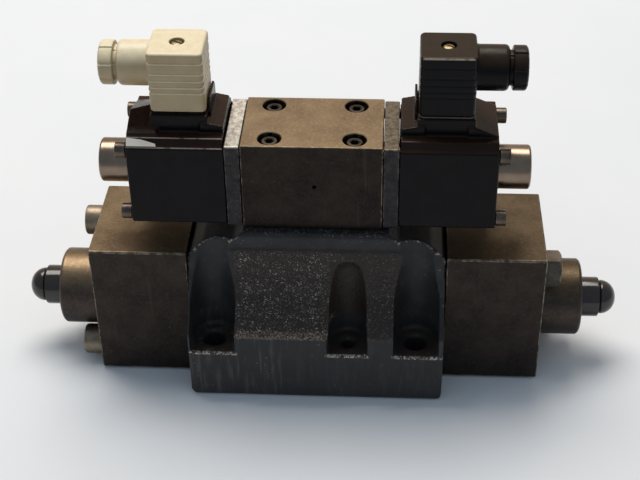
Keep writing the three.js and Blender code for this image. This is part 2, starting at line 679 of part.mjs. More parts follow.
function addPilotBody() {
  const shape = roundedRectangle(PILOT_HALF_X, PILOT_HALF_Y, 0.8);
  const body = slab(shape, SEAT_Z + GAP, PILOT_TOP_Z, 0.5).translate(PILOT_X, 0, 0);
  const cuts = [rod('x', PILOT_BORE_R, -PILOT_HALF_X - 1, PILOT_HALF_X + 1, PILOT_AXIS, 16)];
  const { p, t, a, b } = PILOT_VALVE_PORTS;
  for (const x of [p[0], a[0], b[0]]) {
    cuts.push(rod('x', PILOT_BORE_R + 2, x - 1.6, x + 1.6, PILOT_AXIS, 16));
  }
  for (const [x, y] of [p, a, b]) {
    const foot = [PILOT_X + x, y, SEAT_Z - 1];
    cuts.push(rodBetween(PILOT_VALVE_PORT_R, foot, [PILOT_X + x, y, PILOT_Z]));
  }
  cuts.push(rodBetween(1.6, [PILOT_X + p[0], p[1], PILOT_Z - 1], [PILOT_X + p[0], 0, PILOT_Z - 1]));
  const tankTop = [PILOT_X + t[0], t[1], SEAT_Z + 12];
  cuts.push(rodBetween(PILOT_VALVE_PORT_R, [PILOT_X + t[0], t[1], SEAT_Z - 1], tankTop));
  for (const side of [-1, 1]) {
    cuts.push(rodBetween(2, tankTop, [PILOT_X + side * 20, 0, PILOT_Z - 3]));
    const socket = alongSide(side, TUBE_INNER - GAP, PILOT_HALF_X + 1);
    cuts.push(rod('x', TUBE_SOCKET_R, ...socket, PILOT_AXIS));
    for (const [y, z] of coilScrewPlaces()) {
      const hole = alongSide(side, PILOT_HALF_X - COIL_SCREW_REACH - 1, PILOT_HALF_X + 1);
      cuts.push(rod('x', 2.9, ...hole, [PILOT_X, y, z], DRILLING_ROUND));
    }
    for (const sy of [-1, 1]) {
      const place = [PILOT_X + side * PILOT_SCREW_X, sy * PILOT_SCREW_Y, 0];
      cuts.push(rod('z', 2.9, SEAT_Z - 1, PILOT_TOP_Z + 1, place, SMALL_ROUND));
      cuts.push(rod('z', 5.7, PILOT_SCREW_SEAT_Z, PILOT_TOP_Z + 1, place, 16));
    }
  }
  cuts.push(rod('y', 1.1, -PILOT_HALF_Y - 1, -PILOT_HALF_Y + 4, [PILOT_X + 1.2, 0, 113], DRILLING_ROUND));
  addMesh('pilot_body', carve(body, [], cuts), 'brownedSteel');
}

function addPilotScrews() {
  let number = 1;
  for (const sy of [-1, 1]) {
    for (const sx of [-1, 1]) {
      const place = [PILOT_X + sx * PILOT_SCREW_X, sy * PILOT_SCREW_Y, 0];
      const seat = PILOT_SCREW_SEAT_Z + GAP;
      const reach = seat - SEAT_Z + 12;
      const screw = socketScrew('z', 1, PILOT_SCREW_SIZE, seat, reach, place);
      addMesh(`pilot_screw_${number}`, screw, 'blackSteel');
      number += 1;
    }
  }
}

function addPilotSpool() {
  const landR = PILOT_BORE_R - 0.06;
  const neckR = 3.4;
  const collarR = 4.9;
  const half = PILOT_SPOOL_HALF;
  const profile = [[0, -half], [collarR, -half], [collarR, -half + 1.5], [neckR, -half + 1.5]];
  for (const [from, to] of SPOOL_LANDS) {
    profile.push([neckR, from], [landR, from], [landR, to], [neckR, to]);
  }
  profile.push([neckR, half - 1.5], [collarR, half - 1.5], [collarR, half], [0, half]);
  addMesh('pilot_spool', turned('x', profile, PILOT_AXIS, 16), 'brightSteel');
}

// The flat plate between the pilot block and a coil.
function flangePlate(side) {
  const shape = roundedRectangle(PILOT_HALF_Y, PILOT_HALF_Y - 0.4, 1.2);
  const span = alongSide(side, FLANGE_INNER, FLANGE_OUTER);
  const plate = slabAlongX(shape, ...span, 0.4).translate(PILOT_X, 0, PILOT_Z);
  const through = alongSide(side, FLANGE_INNER - 1, FLANGE_OUTER + 1);
  const cuts = [rod('x', TUBE_SOCKET_R, ...through, PILOT_AXIS)];
  for (const [y, z] of coilScrewPlaces()) {
    cuts.push(rod('x', 2.9, ...through, [PILOT_X, y, z], DRILLING_ROUND));
  }
  return carve(plate, [], cuts);
}

// The coil's block carries a deck with sloped edges, two wings that fall away from the plug
// and a pedestal for the plug.
function coil(side) {
  const shape = roundedRectangle(COIL_HALF_Y, COIL_HALF_Z, 1.5);
  const body = slabAlongX(shape, ...alongSide(side, COIL_INNER, COIL_OUTER), 0.6).translate(0, 0, PILOT_Z);
  const topZ = PILOT_Z + COIL_HALF_Z;
  const innerEnd = COIL_INNER + COIL_EDGE;
  const outerEnd = COIL_OUTER - COIL_EDGE;
  const deck = hull([innerEnd, outerEnd].flatMap((x) => [-1, 1].flatMap((sy) => [
    [side * x, sy * (COIL_HALF_Y - COIL_EDGE), topZ - 1],
    [side * x, sy * COIL_DECK_Y, COIL_DECK_Z],
  ])));
  const wings = hull([-1, 1].flatMap((sy) => [
    [side * innerEnd, sy * WING_Y, topZ],
    [side * innerEnd, sy * WING_Y, COIL_WING_Z - WING_DROP_INNER],
    [side * (PLUG_X - PLUG_HALF), sy * WING_Y, COIL_WING_Z],
    [side * (PLUG_X + PLUG_HALF), sy * WING_Y, COIL_WING_Z],
    [side * outerEnd, sy * WING_Y, COIL_WING_Z - WING_DROP_OUTER],
    [side * outerEnd, sy * WING_Y, topZ],
  ]));
  const pedestal = slab(roundedRectangle(PLUG_HALF + 0.4, PEDESTAL_HALF_Y, 1), topZ - 4, PEDESTAL_Z)
    .translate(side * PLUG_X, 0, 0);
  const earX = side * (PLUG_X - PLUG_HALF - 1.1);
  const ear = block([earX - 0.6, -8, topZ - 1], [earX + 0.6, 12, PEDESTAL_Z + 6]);
  const bore = rod('x', COIL_BORE_R, ...alongSide(side, COIL_INNER - 1, COIL_OUTER + 1), [0, 0, PILOT_Z]);
  const threaded = rod('z', 1.9, PEDESTAL_Z - 9, PEDESTAL_Z + 1, [side * PLUG_X, 0, 0], DRILLING_ROUND);
  const cuts = [bore, threaded];
  for (const [y, z] of coilScrewPlaces()) {
    cuts.push(rod('x', 2.9, ...alongSide(side, COIL_INNER - 1, COIL_OUTER + 1), [0, y, z], DRILLING_ROUND));
  }
  return carve(body, [deck, wings, pedestal, ear], cuts).translate(PILOT_X, 0, 0);
}

// The pressure tube: a pole piece, a chamber for the armature and a bright round end.
function armatureTube() {
  const end = TUBE_END_X;
  const wallR = ARMATURE_R + 0.3;
  return [
    [PUSH_PIN_R + 0.3, TUBE_INNER], [TUBE_R - 0.5, TUBE_INNER], [TUBE_R, TUBE_INNER + 0.5],
    [TUBE_R, end - 1.2], [TUBE_R - 0.4, end - 0.35], [TUBE_R - 1.2, end], [OVERRIDE_R + 0.2, end],
    [OVERRIDE_R + 0.2, TUBE_CHAMBER_END], [wallR, TUBE_CHAMBER_END], [wallR, TUBE_CHAMBER_START],
    [PUSH_PIN_R + 0.3, TUBE_CHAMBER_START], [PUSH_PIN_R + 0.3, TUBE_INNER],
  ];
}

function armature() {
  const pinStart = PILOT_SPOOL_HALF + GAP;
  return [
    [0, pinStart], [PUSH_PIN_R, pinStart], [PUSH_PIN_R, ARMATURE_START],
    [ARMATURE_R, ARMATURE_START], [ARMATURE_R, ARMATURE_END], [0, ARMATURE_END],
  ];
}

function overridePin() {
  return [
    [0, ARMATURE_END + GAP], [OVERRIDE_R, ARMATURE_END + GAP], [OVERRIDE_R, OVERRIDE_END - 0.5],
    [OVERRIDE_R - 0.5, OVERRIDE_END], [0, OVERRIDE_END],
  ];
}

// Square plug housing with a hollow body and a round neck for the cable.
function plug(side) {
  const middleZ = (PLUG_BOTTOM_Z + PLUG_TOP_Z) / 2;
  const place = [side * PLUG_X, 0, 0];
  const housing = slab(roundedRectangle(PLUG_HALF, PLUG_HALF, 2.2), PLUG_BOTTOM_Z, PLUG_TOP_Z, 0.8)
    .translate(...place);
  const neckStart = PLUG_X + PLUG_HALF - 3;
  const neckEnd = PLUG_X + PLUG_HALF + GLAND_LENGTH;
  const neck = rod('x', GLAND_R, ...alongSide(side, neckStart, neckEnd), [0, 0, GLAND_Z]);
  const inside = PLUG_HALF - PLUG_WALL;
  const hollow = block([side * PLUG_X - inside, -inside, PLUG_BOTTOM_Z - 1],
    [side * PLUG_X + inside, inside, PLUG_TOP_Z - 5]);
  const entry = rod('x', 7.8, ...alongSide(side, PLUG_X, neckEnd + 1), [0, 0, GLAND_Z], 16);
  const recess = rod('z', PLUG_SCREW_HEAD_R + 0.8, PLUG_TOP_Z - 2.6, PLUG_TOP_Z + 1, place, 16);
  const screwHole = rod('z', 2, middleZ, PLUG_TOP_Z + 1, place, DRILLING_ROUND);
  const cuts = [hollow, entry, recess, screwHole];
  for (const groove of [5.2, 10.6, 14.2, 17.6, 20.6]) {
    for (const sy of [-1, 1]) {
      const y = sy * PLUG_HALF;
      const z = PLUG_TOP_Z - groove;
      cuts.push(block([side * PLUG_X - PLUG_HALF + 1, y - 0.45, z - 0.45],
        [side * PLUG_X + PLUG_HALF - 1, y + 0.45, z + 0.45]));
    }
  }
  return carve(housing, [neck], cuts).translate(PILOT_X, 0, 0);
}

function plugGasket(side) {
  const half = PLUG_HALF - 0.1;
  const low = PEDESTAL_Z + 0.3;
  const high = PLUG_BOTTOM_Z - 0.3;
  const sheet = slab(roundedRectangle(half, half, 2), low, high).translate(side * PLUG_X, 0, 0);
  const inner = PLUG_HALF - PLUG_WALL - 1;
  const window = block([side * PLUG_X - inner, -inner, low - 1], [side * PLUG_X + inner, inner, high + 1]);
  return carve(sheet, [], [window]).translate(PILOT_X, 0, 0);
}

function plugScrew(side) {
  const seat = PLUG_TOP_Z - 2.6 + 0.3;
  const top = seat + 1.9;
  const profile = [
    [0, PEDESTAL_Z - 8], [1.5, PEDESTAL_Z - 8], [1.5, seat], [PLUG_SCREW_HEAD_R, seat],
    [PLUG_SCREW_HEAD_R, top - 0.5], [PLUG_SCREW_HEAD_R - 0.5, top], [0, top],
  ];
  const body = turned('z', profile, [PILOT_X + side * PLUG_X, 0, 0], SMALL_ROUND);
  const slot = block([-0.4, -PLUG_SCREW_HEAD_R - 1, top - 0.9], [0.4, PLUG_SCREW_HEAD_R + 1, top + 1])
    .rotateZ(Math.PI / 3).translate(PILOT_X + side * PLUG_X, 0, 0);
  return carve(body, [], [slot]);
}

// The gland nut: a ribbed ring outside the neck and a threaded spigot inside it.
function glandNut(side) {
  const neckEnd = PLUG_X + PLUG_HALF + GLAND_LENGTH;
  const start = neckEnd + 1.6;
  const end = start + 7;
  const profile = [
    [5, neckEnd - 9], [7.2, neckEnd - 9], [7.2, neckEnd + 0.4], [8.4, neckEnd + 0.4], [8.4, start],
    [GLAND_NUT_R, start], [GLAND_NUT_R, end - 0.8], [GLAND_NUT_R - 0.8, end], [5, end],
    [5, neckEnd - 9],
  ];
  const body = turnedOutwards(side, profile, [0, 0, GLAND_Z]);
  const cuts = [];
  const ribs = 8;
  for (let i = 0; i < ribs; i += 1) {
    const angle = (2 * Math.PI * (i + 0.5)) / ribs;
    const groove = block([-5, -0.5, -0.5], [5, 0.5, 0.5]).rotateX(angle);
    const y = GLAND_NUT_R * Math.cos(angle);
    const z = GLAND_Z + GLAND_NUT_R * Math.sin(angle);
    cuts.push(groove.translate(side * (start + 3.5), y, z));
  }
  return carve(body, [], cuts).translate(PILOT_X, 0, 0);
}

function addPilotEnd(side, name) {
  const springStart = PILOT_X + side * (PILOT_SPOOL_HALF + 0.6 + GAP);
  const springLength = side * (TUBE_INNER - PILOT_SPOOL_HALF - 1.2 - 2 * GAP);
  const pilotSpring = spring(3.9, 0.55, springStart, springLength, 4, PILOT_Z);
  addMesh(`pilot_spring_${name}`, pilotSpring, 'springSteel');
  addMesh(`flange_plate_${name}`, flangePlate(side), 'flangeGrey');
  addMesh(`coil_${name}`, coil(side), 'coilBlack');
  addMesh(`armature_tube_${name}`, turnedOutwards(side, armatureTube(), PILOT_AXIS), 'brightSteel');
  addMesh(`armature_${name}`, turnedOutwards(side, armature(), PILOT_AXIS), 'brightSteel');
  addMesh(`override_pin_${name}`, turnedOutwards(side, overridePin(), PILOT_AXIS, SMALL_ROUND), 'brass');
  coilScrewPlaces().forEach(([y, z], i) => {
    const seat = [PILOT_X + side * (COIL_OUTER + GAP), y, z];
    const reach = COIL_OUTER + GAP - PILOT_HALF_X + COIL_SCREW_REACH;
    const screw = socketScrew('x', side, PILOT_SCREW_SIZE, 0, reach, seat);
    addMesh(`coil_screw_${name}_${i + 1}`, screw, 'brightSteel');
  });
  const plugLook = side < 0 ? 'plugIvory' : 'plugBlack';
  addMesh(`plug_${name}`, plug(side), plugLook);
  addMesh(`plug_gasket_${name}`, plugGasket(side), 'rubber');
  addMesh(`plug_screw_${name}`, plugScrew(side), 'brass');
  addMesh(`gland_nut_${name}`, glandNut(side), plugLook);
}

// ---------- Assembly ----------
addMainBody();
addMainSpool();
addPortSeals();
addMainEnd(-1, 'left');
addMainEnd(1, 'right');
addPilotBody();
addPilotScrews();
addPilotSpool();
addPilotEnd(-1, 'left');
addPilotEnd(1, 'right');

export default valve;
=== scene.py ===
"""Looks of a two-stage solenoid directional valve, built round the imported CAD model.

The CAD frame is used as it is: metres, +X along the spools, +Z up out of the mounting face.
Sizes below are in millimetres and are turned into metres by MM where a mesh is made.
"""

import math

import bmesh
import bpy
from mathutils import Matrix, Vector


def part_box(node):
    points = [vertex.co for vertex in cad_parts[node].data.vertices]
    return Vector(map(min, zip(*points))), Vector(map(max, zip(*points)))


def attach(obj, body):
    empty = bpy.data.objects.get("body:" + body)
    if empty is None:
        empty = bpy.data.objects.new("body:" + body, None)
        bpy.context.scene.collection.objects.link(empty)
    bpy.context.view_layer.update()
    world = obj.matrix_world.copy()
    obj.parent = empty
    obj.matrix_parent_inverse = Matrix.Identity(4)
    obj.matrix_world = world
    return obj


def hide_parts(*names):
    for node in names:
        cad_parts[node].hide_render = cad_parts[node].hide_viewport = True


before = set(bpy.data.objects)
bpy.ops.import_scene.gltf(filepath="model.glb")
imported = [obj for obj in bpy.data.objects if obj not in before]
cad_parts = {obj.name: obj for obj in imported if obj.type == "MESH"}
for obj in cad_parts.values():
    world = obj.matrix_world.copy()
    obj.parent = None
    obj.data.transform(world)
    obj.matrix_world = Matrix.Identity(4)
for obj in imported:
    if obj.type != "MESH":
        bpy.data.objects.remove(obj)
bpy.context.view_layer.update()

MM = 0.001
SIDES = {"left": -1, "right": 1}
FIXED = "valve"
DENSE = 20000          # faces; a mesh finer than this shades well on its own


# ---------------------------------------------------------------- places from the frame
def box_mm(node):
    low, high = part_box(node)
    return Vector(low) / MM, Vector(high) / MM


def middle(node):
    low, high = box_mm(node)
    return (low + high) / 2


CASTING_LOW, CASTING_HIGH = box_mm("main_body")
CASTING_X = middle("main_body").x
HALF_X = (CASTING_HIGH.x - CASTING_LOW.x) / 2
HALF_Y = (CASTING_HIGH.y - CASTING_LOW.y) / 2
SEAT_Z = CASTING_HIGH.z
MAIN_Z = middle("main_spool").z
PILOT_X = middle("pilot_body").x
PILOT_Z = middle("pilot_spool").z
PLUG_LOW, PLUG_HIGH = box_mm("plug_left")
PLUG_HALF = (PLUG_HIGH.y - PLUG_LOW.y) / 2
PLUG_TOP = PLUG_HIGH.z
GLAND_Z = middle("gland_nut_left").z

# The casting
POCKET_FLOOR = 28.4
FOOT_EDGE = 39.7
PANEL_TOP = 76
MAIN_BORE_R = 12.5
PORT_R = 8.75
PILOT_PORT_R = 3.15
DRAIN_X = 50.8
PIN_HOLES = [(-25.8, -34.95), (32.5, 34.95)]
PIN_HOLE_R = 2
SPOT_FACE_DEPTH = 0.6

# Two sizes of mounting bolt: places, and the radii of the pocket, the hole and its spot face
MAIN_BOLTS = [(sx * 50.8, sy * 34.95) for sx in (-1, 1) for sy in (-1, 1)]
MAIN_POCKET_R, MAIN_HOLE_R, MAIN_SPOT_R = 11.2, 5.5, 8
SMALL_BOLTS = [(16.7, -36.55), (0.8, 36.55)]
SMALL_POCKET_R, SMALL_HOLE_R, SMALL_SPOT_R = 10.1, 3.3, 6

# The coils and what is on them
TUBE_BORE_R = 11.2
COIL_TOP = 133.7
COIL_EDGE_Y = 22.75
DECK_TOP, DECK_HALF_Y = 137.2, 19.5
WING_TOP, WING_HALF_Y = 142.6, 15
OUTER_DROP, INNER_DROP = 4.8, 1.6        # how far a wing falls away from the plug
PEDESTAL_TOP = 146


# ---------------------------------------------------------------- mesh helpers
def new_object(name, bm):
    bmesh.ops.remove_doubles(bm, verts=bm.verts, dist=1e-7)
    bmesh.ops.recalc_face_normals(bm, faces=bm.faces)
    mesh = bpy.data.meshes.new(name)
    bm.to_mesh(mesh)
    bm.free()
    obj = bpy.data.objects.new(name, mesh)
    bpy.context.scene.collection.objects.link(obj)
    return obj


def loft(name, sections):
    """A closed solid through sections of equally many points, in millimetres."""
    bm = bmesh.new()
    rows = [[bm.verts.new(Vector(point) * MM) for point in section] for section in sections]
    count = len(rows[0])
    for row, following in zip(rows, rows[1:]):
        for i in range(count):
            j = (i + 1) % count
            bm.faces.new((row[i], row[j], following[j], following[i]))
    bm.faces.new(rows[0])
    bm.faces.new(rows[-1])
    return new_object(name, bm)


AXES = {
    "x": lambda along, u, v: (along, u, v),
    "y": lambda along, u, v: (u, along, v),
    "z": lambda along, u, v: (u, v, along),
}


def lathe(name, profile, centre, axis="x", side=1, segments=96, wave=None):
    """Turns a profile of (along, radius). It ends on the axis at both ends, or closes on itself."""
    bm = bmesh.new()
    place = Vector(centre)
    rings = []
    for along, radius in profile:
        if radius < 1e-6:
            rings.append([bm.verts.new((place + Vector(AXES[axis](side * along, 0, 0))) * MM)])
            continue
        ring = []
        for i in range(segments):
            angle = 2 * math.pi * i / segments
            r = radius if wave is None else wave(along, radius, angle)
            point = AXES[axis](side * along, r * math.cos(angle), r * math.sin(angle))
            ring.append(bm.verts.new((place + Vector(point)) * MM))
        rings.append(ring)
    pairs = list(zip(rings, rings[1:]))
    if len(rings[0]) > 1:
        pairs.append((rings[-1], rings[0]))
    for a, b in pairs:
        for i in range(segments):
            j = (i + 1) % segments
            corners = [a[i % len(a)], a[j % len(a)], b[j % len(b)], b[i % len(b)]]
            unique = list(dict.fromkeys(corners))
            if len(unique) > 2:
                bm.faces.new(unique)
    return new_object(name, bm)


def rod(name, radius, start, end, centre, axis="x", side=1, segments=64):
    profile = [(start, 0), (start, radius), (end, radius), (end, 0)]
    return lathe(name, profile, centre, axis, side, segments)


def rounded_rectangle(half_u, half_v, radius, steps=6):
    points = []
    corners = ((1, 1, 0), (-1, 1, 90), (-1, -1, 180), (1, -1, 270))
    for su, sv, start in corners:
        for k in range(steps + 1):
            angle = math.radians(start + 90 * k / steps)
            u = su * (half_u - radius) + radius * math.cos(angle)
            v = sv * (half_v - radius) + radius * math.sin(angle)
            points.append((u, v))
    return points


def convex(name, points):
    bm = bmesh.new()
    verts = [bm.verts.new(Vector(point) * MM) for point in points]
    result = bmesh.ops.convex_hull(bm, input=verts)
    loose = [v for v in result["geom_interior"] if isinstance(v, bmesh.types.BMVert)]
    bmesh.ops.delete(bm, geom=loose, context="VERTS")
    return new_object(name, bm)


def block(name, low, high):
    corners = [(x, y, z) for x in (low[0], high[0]) for y in (low[1], high[1]) for z in (low[2], high[2])]
    return convex(name, corners)


def settle(obj):
    """Applies the object's modifiers."""
    graph = bpy.context.evaluated_depsgraph_get()
    mesh = bpy.data.meshes.new_from_object(obj.evaluated_get(graph))
    before = obj.data
    obj.modifiers.clear()
    obj.data = mesh
    bpy.data.meshes.remove(before)


def combine(obj, others, operation="DIFFERENCE"):
    for other in others:
        modifier = obj.modifiers.new("combine", "BOOLEAN")
        modifier.operation = operation
        modifier.object = other
        modifier.solver = "EXACT"
    settle(obj)
    for other in others:
        bpy.data.objects.remove(other, do_unlink=True)


def bevelled(obj, width, segments=3, angle=35):
    modifier = obj.modifiers.new("bevel", "BEVEL")
    modifier.width = width * MM
    modifier.segments = segments
    modifier.limit_method = "ANGLE"
    modifier.angle_limit = math.radians(angle)
    settle(obj)


def softened(obj, voxel, passes):
    """Melts the edges of a solid into one cast or moulded skin."""
    remesh = obj.modifiers.new("remesh", "REMESH")
    remesh.mode = "VOXEL"
    remesh.voxel_size = voxel * MM
    smooth = obj.modifiers.new("smooth", "SMOOTH")
    smooth.factor = 0.5
    smooth.iterations = passes
    settle(obj)


def shaded(obj, angle=30):
    for polygon in obj.data.polygons:
        polygon.use_smooth = True
    if angle < 180:
        obj.data.set_sharp_from_angle(angle=math.radians(angle))


def fit(obj, node, body, material, angle=30):
    """Makes obj the visible shape of a CAD node."""
    shaded(obj, angle)
    if angle < 180 and len(obj.data.polygons) < DENSE:
        weighted = obj.modifiers.new("weighted", "WEIGHTED_NORMAL")
        weighted.keep_sharp = True
    obj.data.materials.clear()
    obj.data.materials.append(material)
    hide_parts(node)
    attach(obj, body)


# ---------------------------------------------------------------- material helpers
class Graph:
    """A material's node tree, with short calls for the nodes that are used here."""

    def __init__(self, name):
        self.material = bpy.data.materials.new(name)
        self.material.use_nodes = True
        self.tree = self.material.node_tree
        self.shader = self.tree.nodes["Principled BSDF"]
        self.coordinates = self.node("ShaderNodeTexCoord").outputs["Object"]
        self.geometry = self.node("ShaderNodeNewGeometry")

    def node(self, kind, **settings):
        node = self.tree.nodes.new(kind)
        for key, value in settings.items():
            setattr(node, key, value)
        return node

    def put(self, socket, value):
        if isinstance(value, bpy.types.NodeSocket):
            self.tree.links.new(value, socket)
        elif isinstance(value, tuple) and len(value) == 3 and socket.type == "RGBA":
            socket.default_value = (*value, 1)
        else:
            socket.default_value = value

    def math(self, operation, a, b=0.0):
        node = self.node("ShaderNodeMath", operation=operation)
        self.put(node.inputs[0], a)
        self.put(node.inputs[1], b)
        return node.outputs[0]

    def product(self, first, *others):
        for other in others:
            first = self.math("MULTIPLY", first, other)
        return first

    def largest(self, first, *others):
        for other in others:
            first = self.math("MAXIMUM", first, other)
        return first

    def absolute(self, value):
        return self.math("ABSOLUTE", value)

    def noise(self, size, detail=4.0, roughness=0.55, stretch=(1, 1, 1)):
        """Noise whose blobs are about size millimetres across."""
        mapping = self.node("ShaderNodeMapping")
        self.put(mapping.inputs["Vector"], self.coordinates)
        mapping.inputs["Scale"].default_value = stretch
        node = self.node("ShaderNodeTexNoise")
        self.put(node.inputs["Vector"], mapping.outputs[0])
        node.inputs["Scale"].default_value = 1 / (size * MM)
        node.inputs["Detail"].default_value = detail
        node.inputs["Roughness"].default_value = roughness
        return node.outputs["Fac"]

    def cells(self, size):
        """Distance from the middle of the nearest cell, in cells about size millimetres across."""
        node = self.node("ShaderNodeTexVoronoi")
        self.put(node.inputs["Vector"], self.coordinates)
        node.inputs["Scale"].default_value = 1 / (size * MM)
        return node.outputs["Distance"]

    def ramp(self, value, low, high, start=0.0, end=1.0):
        """Goes smoothly from start to end while value goes from low to high."""
        node = self.node("ShaderNodeMapRange", interpolation_type="SMOOTHSTEP")
        for socket, given in zip(node.inputs, (value, low, high, start, end)):
            self.put(socket, given)
        return node.outputs[0]

    def mix(self, factor, a, b):
        node = self.node("ShaderNodeMix", data_type="RGBA")
        self.put(node.inputs["Factor"], factor)
        colours = [socket for socket in node.inputs if socket.type == "RGBA"]
        self.put(colours[0], a)
        self.put(colours[1], b)
        return next(socket for socket in node.outputs if socket.type == "RGBA")

    def place(self):
        """X, Y and Z, in metres."""
        node = self.node("ShaderNodeSeparateXYZ")
        self.put(node.inputs[0], self.coordinates)
        return node.outputs

    def within(self, value, low, high, soft):
        """1 where value lies between low and high, in millimetres."""
        up = self.ramp(value, (low - soft) * MM, low * MM)
        down = self.ramp(value, high * MM, (high + soft) * MM, 1.0, 0.0)
        return self.product(up, down)

    def facing(self, axis):
        """How much the surface faces along +X, +Y or +Z."""
        node = self.node("ShaderNodeSeparateXYZ")
        self.put(node.inputs[0], self.geometry.outputs["True Normal"])
        return node.outputs["XYZ".index(axis)]

    def upward(self, low=0.35, high=0.9):
        """1 on faces that look up, 0 on upright ones. Most materials here use it to paint lighter, lit tops
        over shaded sides.
        """
        return self.ramp(self.facing("Z"), low, high)

    def bevels(self):
        """1 on the bevels of a box that lies along the axes, 0 on its flat faces."""
        sizes = [self.absolute(self.facing(axis)) for axis in "XYZ"]
        return self.ramp(self.largest(*sizes), 0.97, 0.995, 1.0, 0.0)

    def ridges(self, low, high):
        """1 on the convex edges of a dense mesh."""
        return self.ramp(self.geometry.outputs["Pointiness"], low, high)

    def bump(self, height, strength, distance):
        node = self.node("ShaderNodeBump")
        node.inputs["Strength"].default_value = strength
        node.inputs["Distance"].default_value = distance * MM
        self.put(node.inputs["Height"], height)
        self.put(self.shader.inputs["Normal"], node.outputs[0])

    def finish(self, **sockets):
        """Fills the shader's sockets, such as base_color, and gives the material."""
        for key, value in sockets.items():
            self.put(self.shader.inputs[key.replace("_", " ").title()], value)
        return self.material


def scaled(factor, colour):
    return tuple(factor * part for part in colour)


def foot_streaks(g, x, foot):
    """Upright scratches on the casting's foot, most of them on the left."""
    streaks = g.ramp(g.noise(2.2, 4, 0.6, (1, 1, 0.10)), 0.50, 0.72)
    left = g.within(x, -64, -25, 20)
    return g.product(foot, streaks, g.ramp(left, 0, 1, 0.2, 0.7))


def panel_specks(g, x, z, panel):
    """Bare specks all over the rough panel, most on the left, and few inside the small pocket."""
    fine = g.ramp(g.noise(0.9, 5, 0.85), 0.555, 0.60)
    coarse = g.ramp(g.noise(1.8, 5, 0.85), 0.60, 0.64)
    patches = g.ramp(g.noise(6, 5, 0.7), 0.36, 0.54)
    specks = g.product(g.largest(g.product(fine, patches), coarse), panel)
    left = g.ramp(g.within(x, -38, 4, 16), 0, 1, 0.40, 1.0)
    small_pocket = g.product(g.within(x, 8, 25.5, 1), g.within(z, POCKET_FLOOR, 71, 2))
    return g.product(specks, left, g.ramp(small_pocket, 0, 1, 1.0, 0.1))


def casting_chips(g, x, y, z):
    """Bare metal on the lip under the seat, the edges of the pocket floors and the shoulders."""
    lip = g.within(z, SEAT_Z - 0.9, SEAT_Z + 1, 0.3)
    lip = g.product(lip, g.ramp(g.noise(1.1, 5, 0.8), 0.57, 0.64, 0, 0.6))
    floor_edge = g.within(z, POCKET_FLOOR - 1.0, POCKET_FLOOR + 0.2, 0.3)
    front = g.ramp(g.absolute(y), (HALF_Y - 1.8) * MM, (HALF_Y - 0.9) * MM)
    patches = g.ramp(g.noise(1.3, 5, 0.8), 0.47, 0.59)
    pockets = g.math("ADD", g.within(g.absolute(x), 39, 64, 0.8), g.within(x, 6, 27.5, 0.8))
    floor_edge = g.product(floor_edge, front, patches, g.math("MINIMUM", pockets, 1.0))
    shoulders = g.within(z, 70, SEAT_Z + 2, 4)
    ridges = g.product(g.ridges(0.52, 0.56), g.ramp(g.noise(2.4, 5, 0.8), 0.47, 0.57), shoulders)
    return g.largest(lip, floor_edge, ridges)


def casting_material():
    """Thick dark paint: smooth where it was machined or rubbed, rough and speckled on the panel."""
    g = Graph("painted_casting")
    x, y, z = g.place()
    panel = g.product(g.within(z, FOOT_EDGE, PANEL_TOP, 3), g.within(x, -38, 40, 3))
    foot = g.within(z, -1, FOOT_EDGE - 1, 1.5)
    pocket_floor = g.product(g.within(z, POCKET_FLOOR - 0.8, POCKET_FLOOR + 0.5, 0.3), g.upward())
    sprinkle = g.product(g.ramp(g.noise(1.2, 3, 0.7), 0.665, 0.70), g.ramp(g.noise(9, 3), 0.48, 0.58))
    rubbed = g.within(z, FOOT_EDGE - 1.2, FOOT_EDGE + 1.4, 0.8)
    rubbed = g.product(rubbed, g.ramp(g.noise(0.9, 4, 0.8), 0.47, 0.58), g.within(x, -37, 8, 3))
    tone = g.ramp(g.noise(1.6, 3, 0.7), 0.40, 0.62)
    speck_colour = g.mix(tone, (0.12, 0.09, 0.07), (0.66, 0.60, 0.53))
    chip_colour = g.mix(tone, (0.36, 0.27, 0.19), (0.80, 0.74, 0.66))

    colour = g.mix(g.ramp(g.noise(9, 5), 0.35, 0.7), (0.0165, 0.0155, 0.0155), (0.027, 0.0255, 0.0265))
    for mask, amount, paint in (
        (panel, 0.85, (0.027, 0.0175, 0.0130)),
        (foot, 0.5, (0.034, 0.0325, 0.033)),
        (pocket_floor, 0.8, (0.034, 0.022, 0.016)),
        (foot_streaks(g, x, foot), 1.0, (0.085, 0.080, 0.073)),
        (panel_specks(g, x, z, panel), 0.9, speck_colour),
        (sprinkle, 0.7, (0.36, 0.33, 0.29)),
        (rubbed, 0.8, (0.30, 0.225, 0.175)),
        (casting_chips(g, x, y, z), 0.92, chip_colour),
    ):
        colour = g.mix(g.product(mask, amount), colour, paint)

    grain = g.noise(0.9, 3, 0.7)
    pits = g.product(g.cells(1.25), g.ramp(panel, 0, 1, 0.08, 1.0))
    g.bump(g.math("ADD", g.product(grain, 0.35), pits), 0.6, 0.5)
    g.shader.inputs["Specular IOR Level"].default_value = 0.32
    return g.finish(base_color=colour, roughness=g.ramp(grain, 0.2, 0.8, 0.36, 0.58))


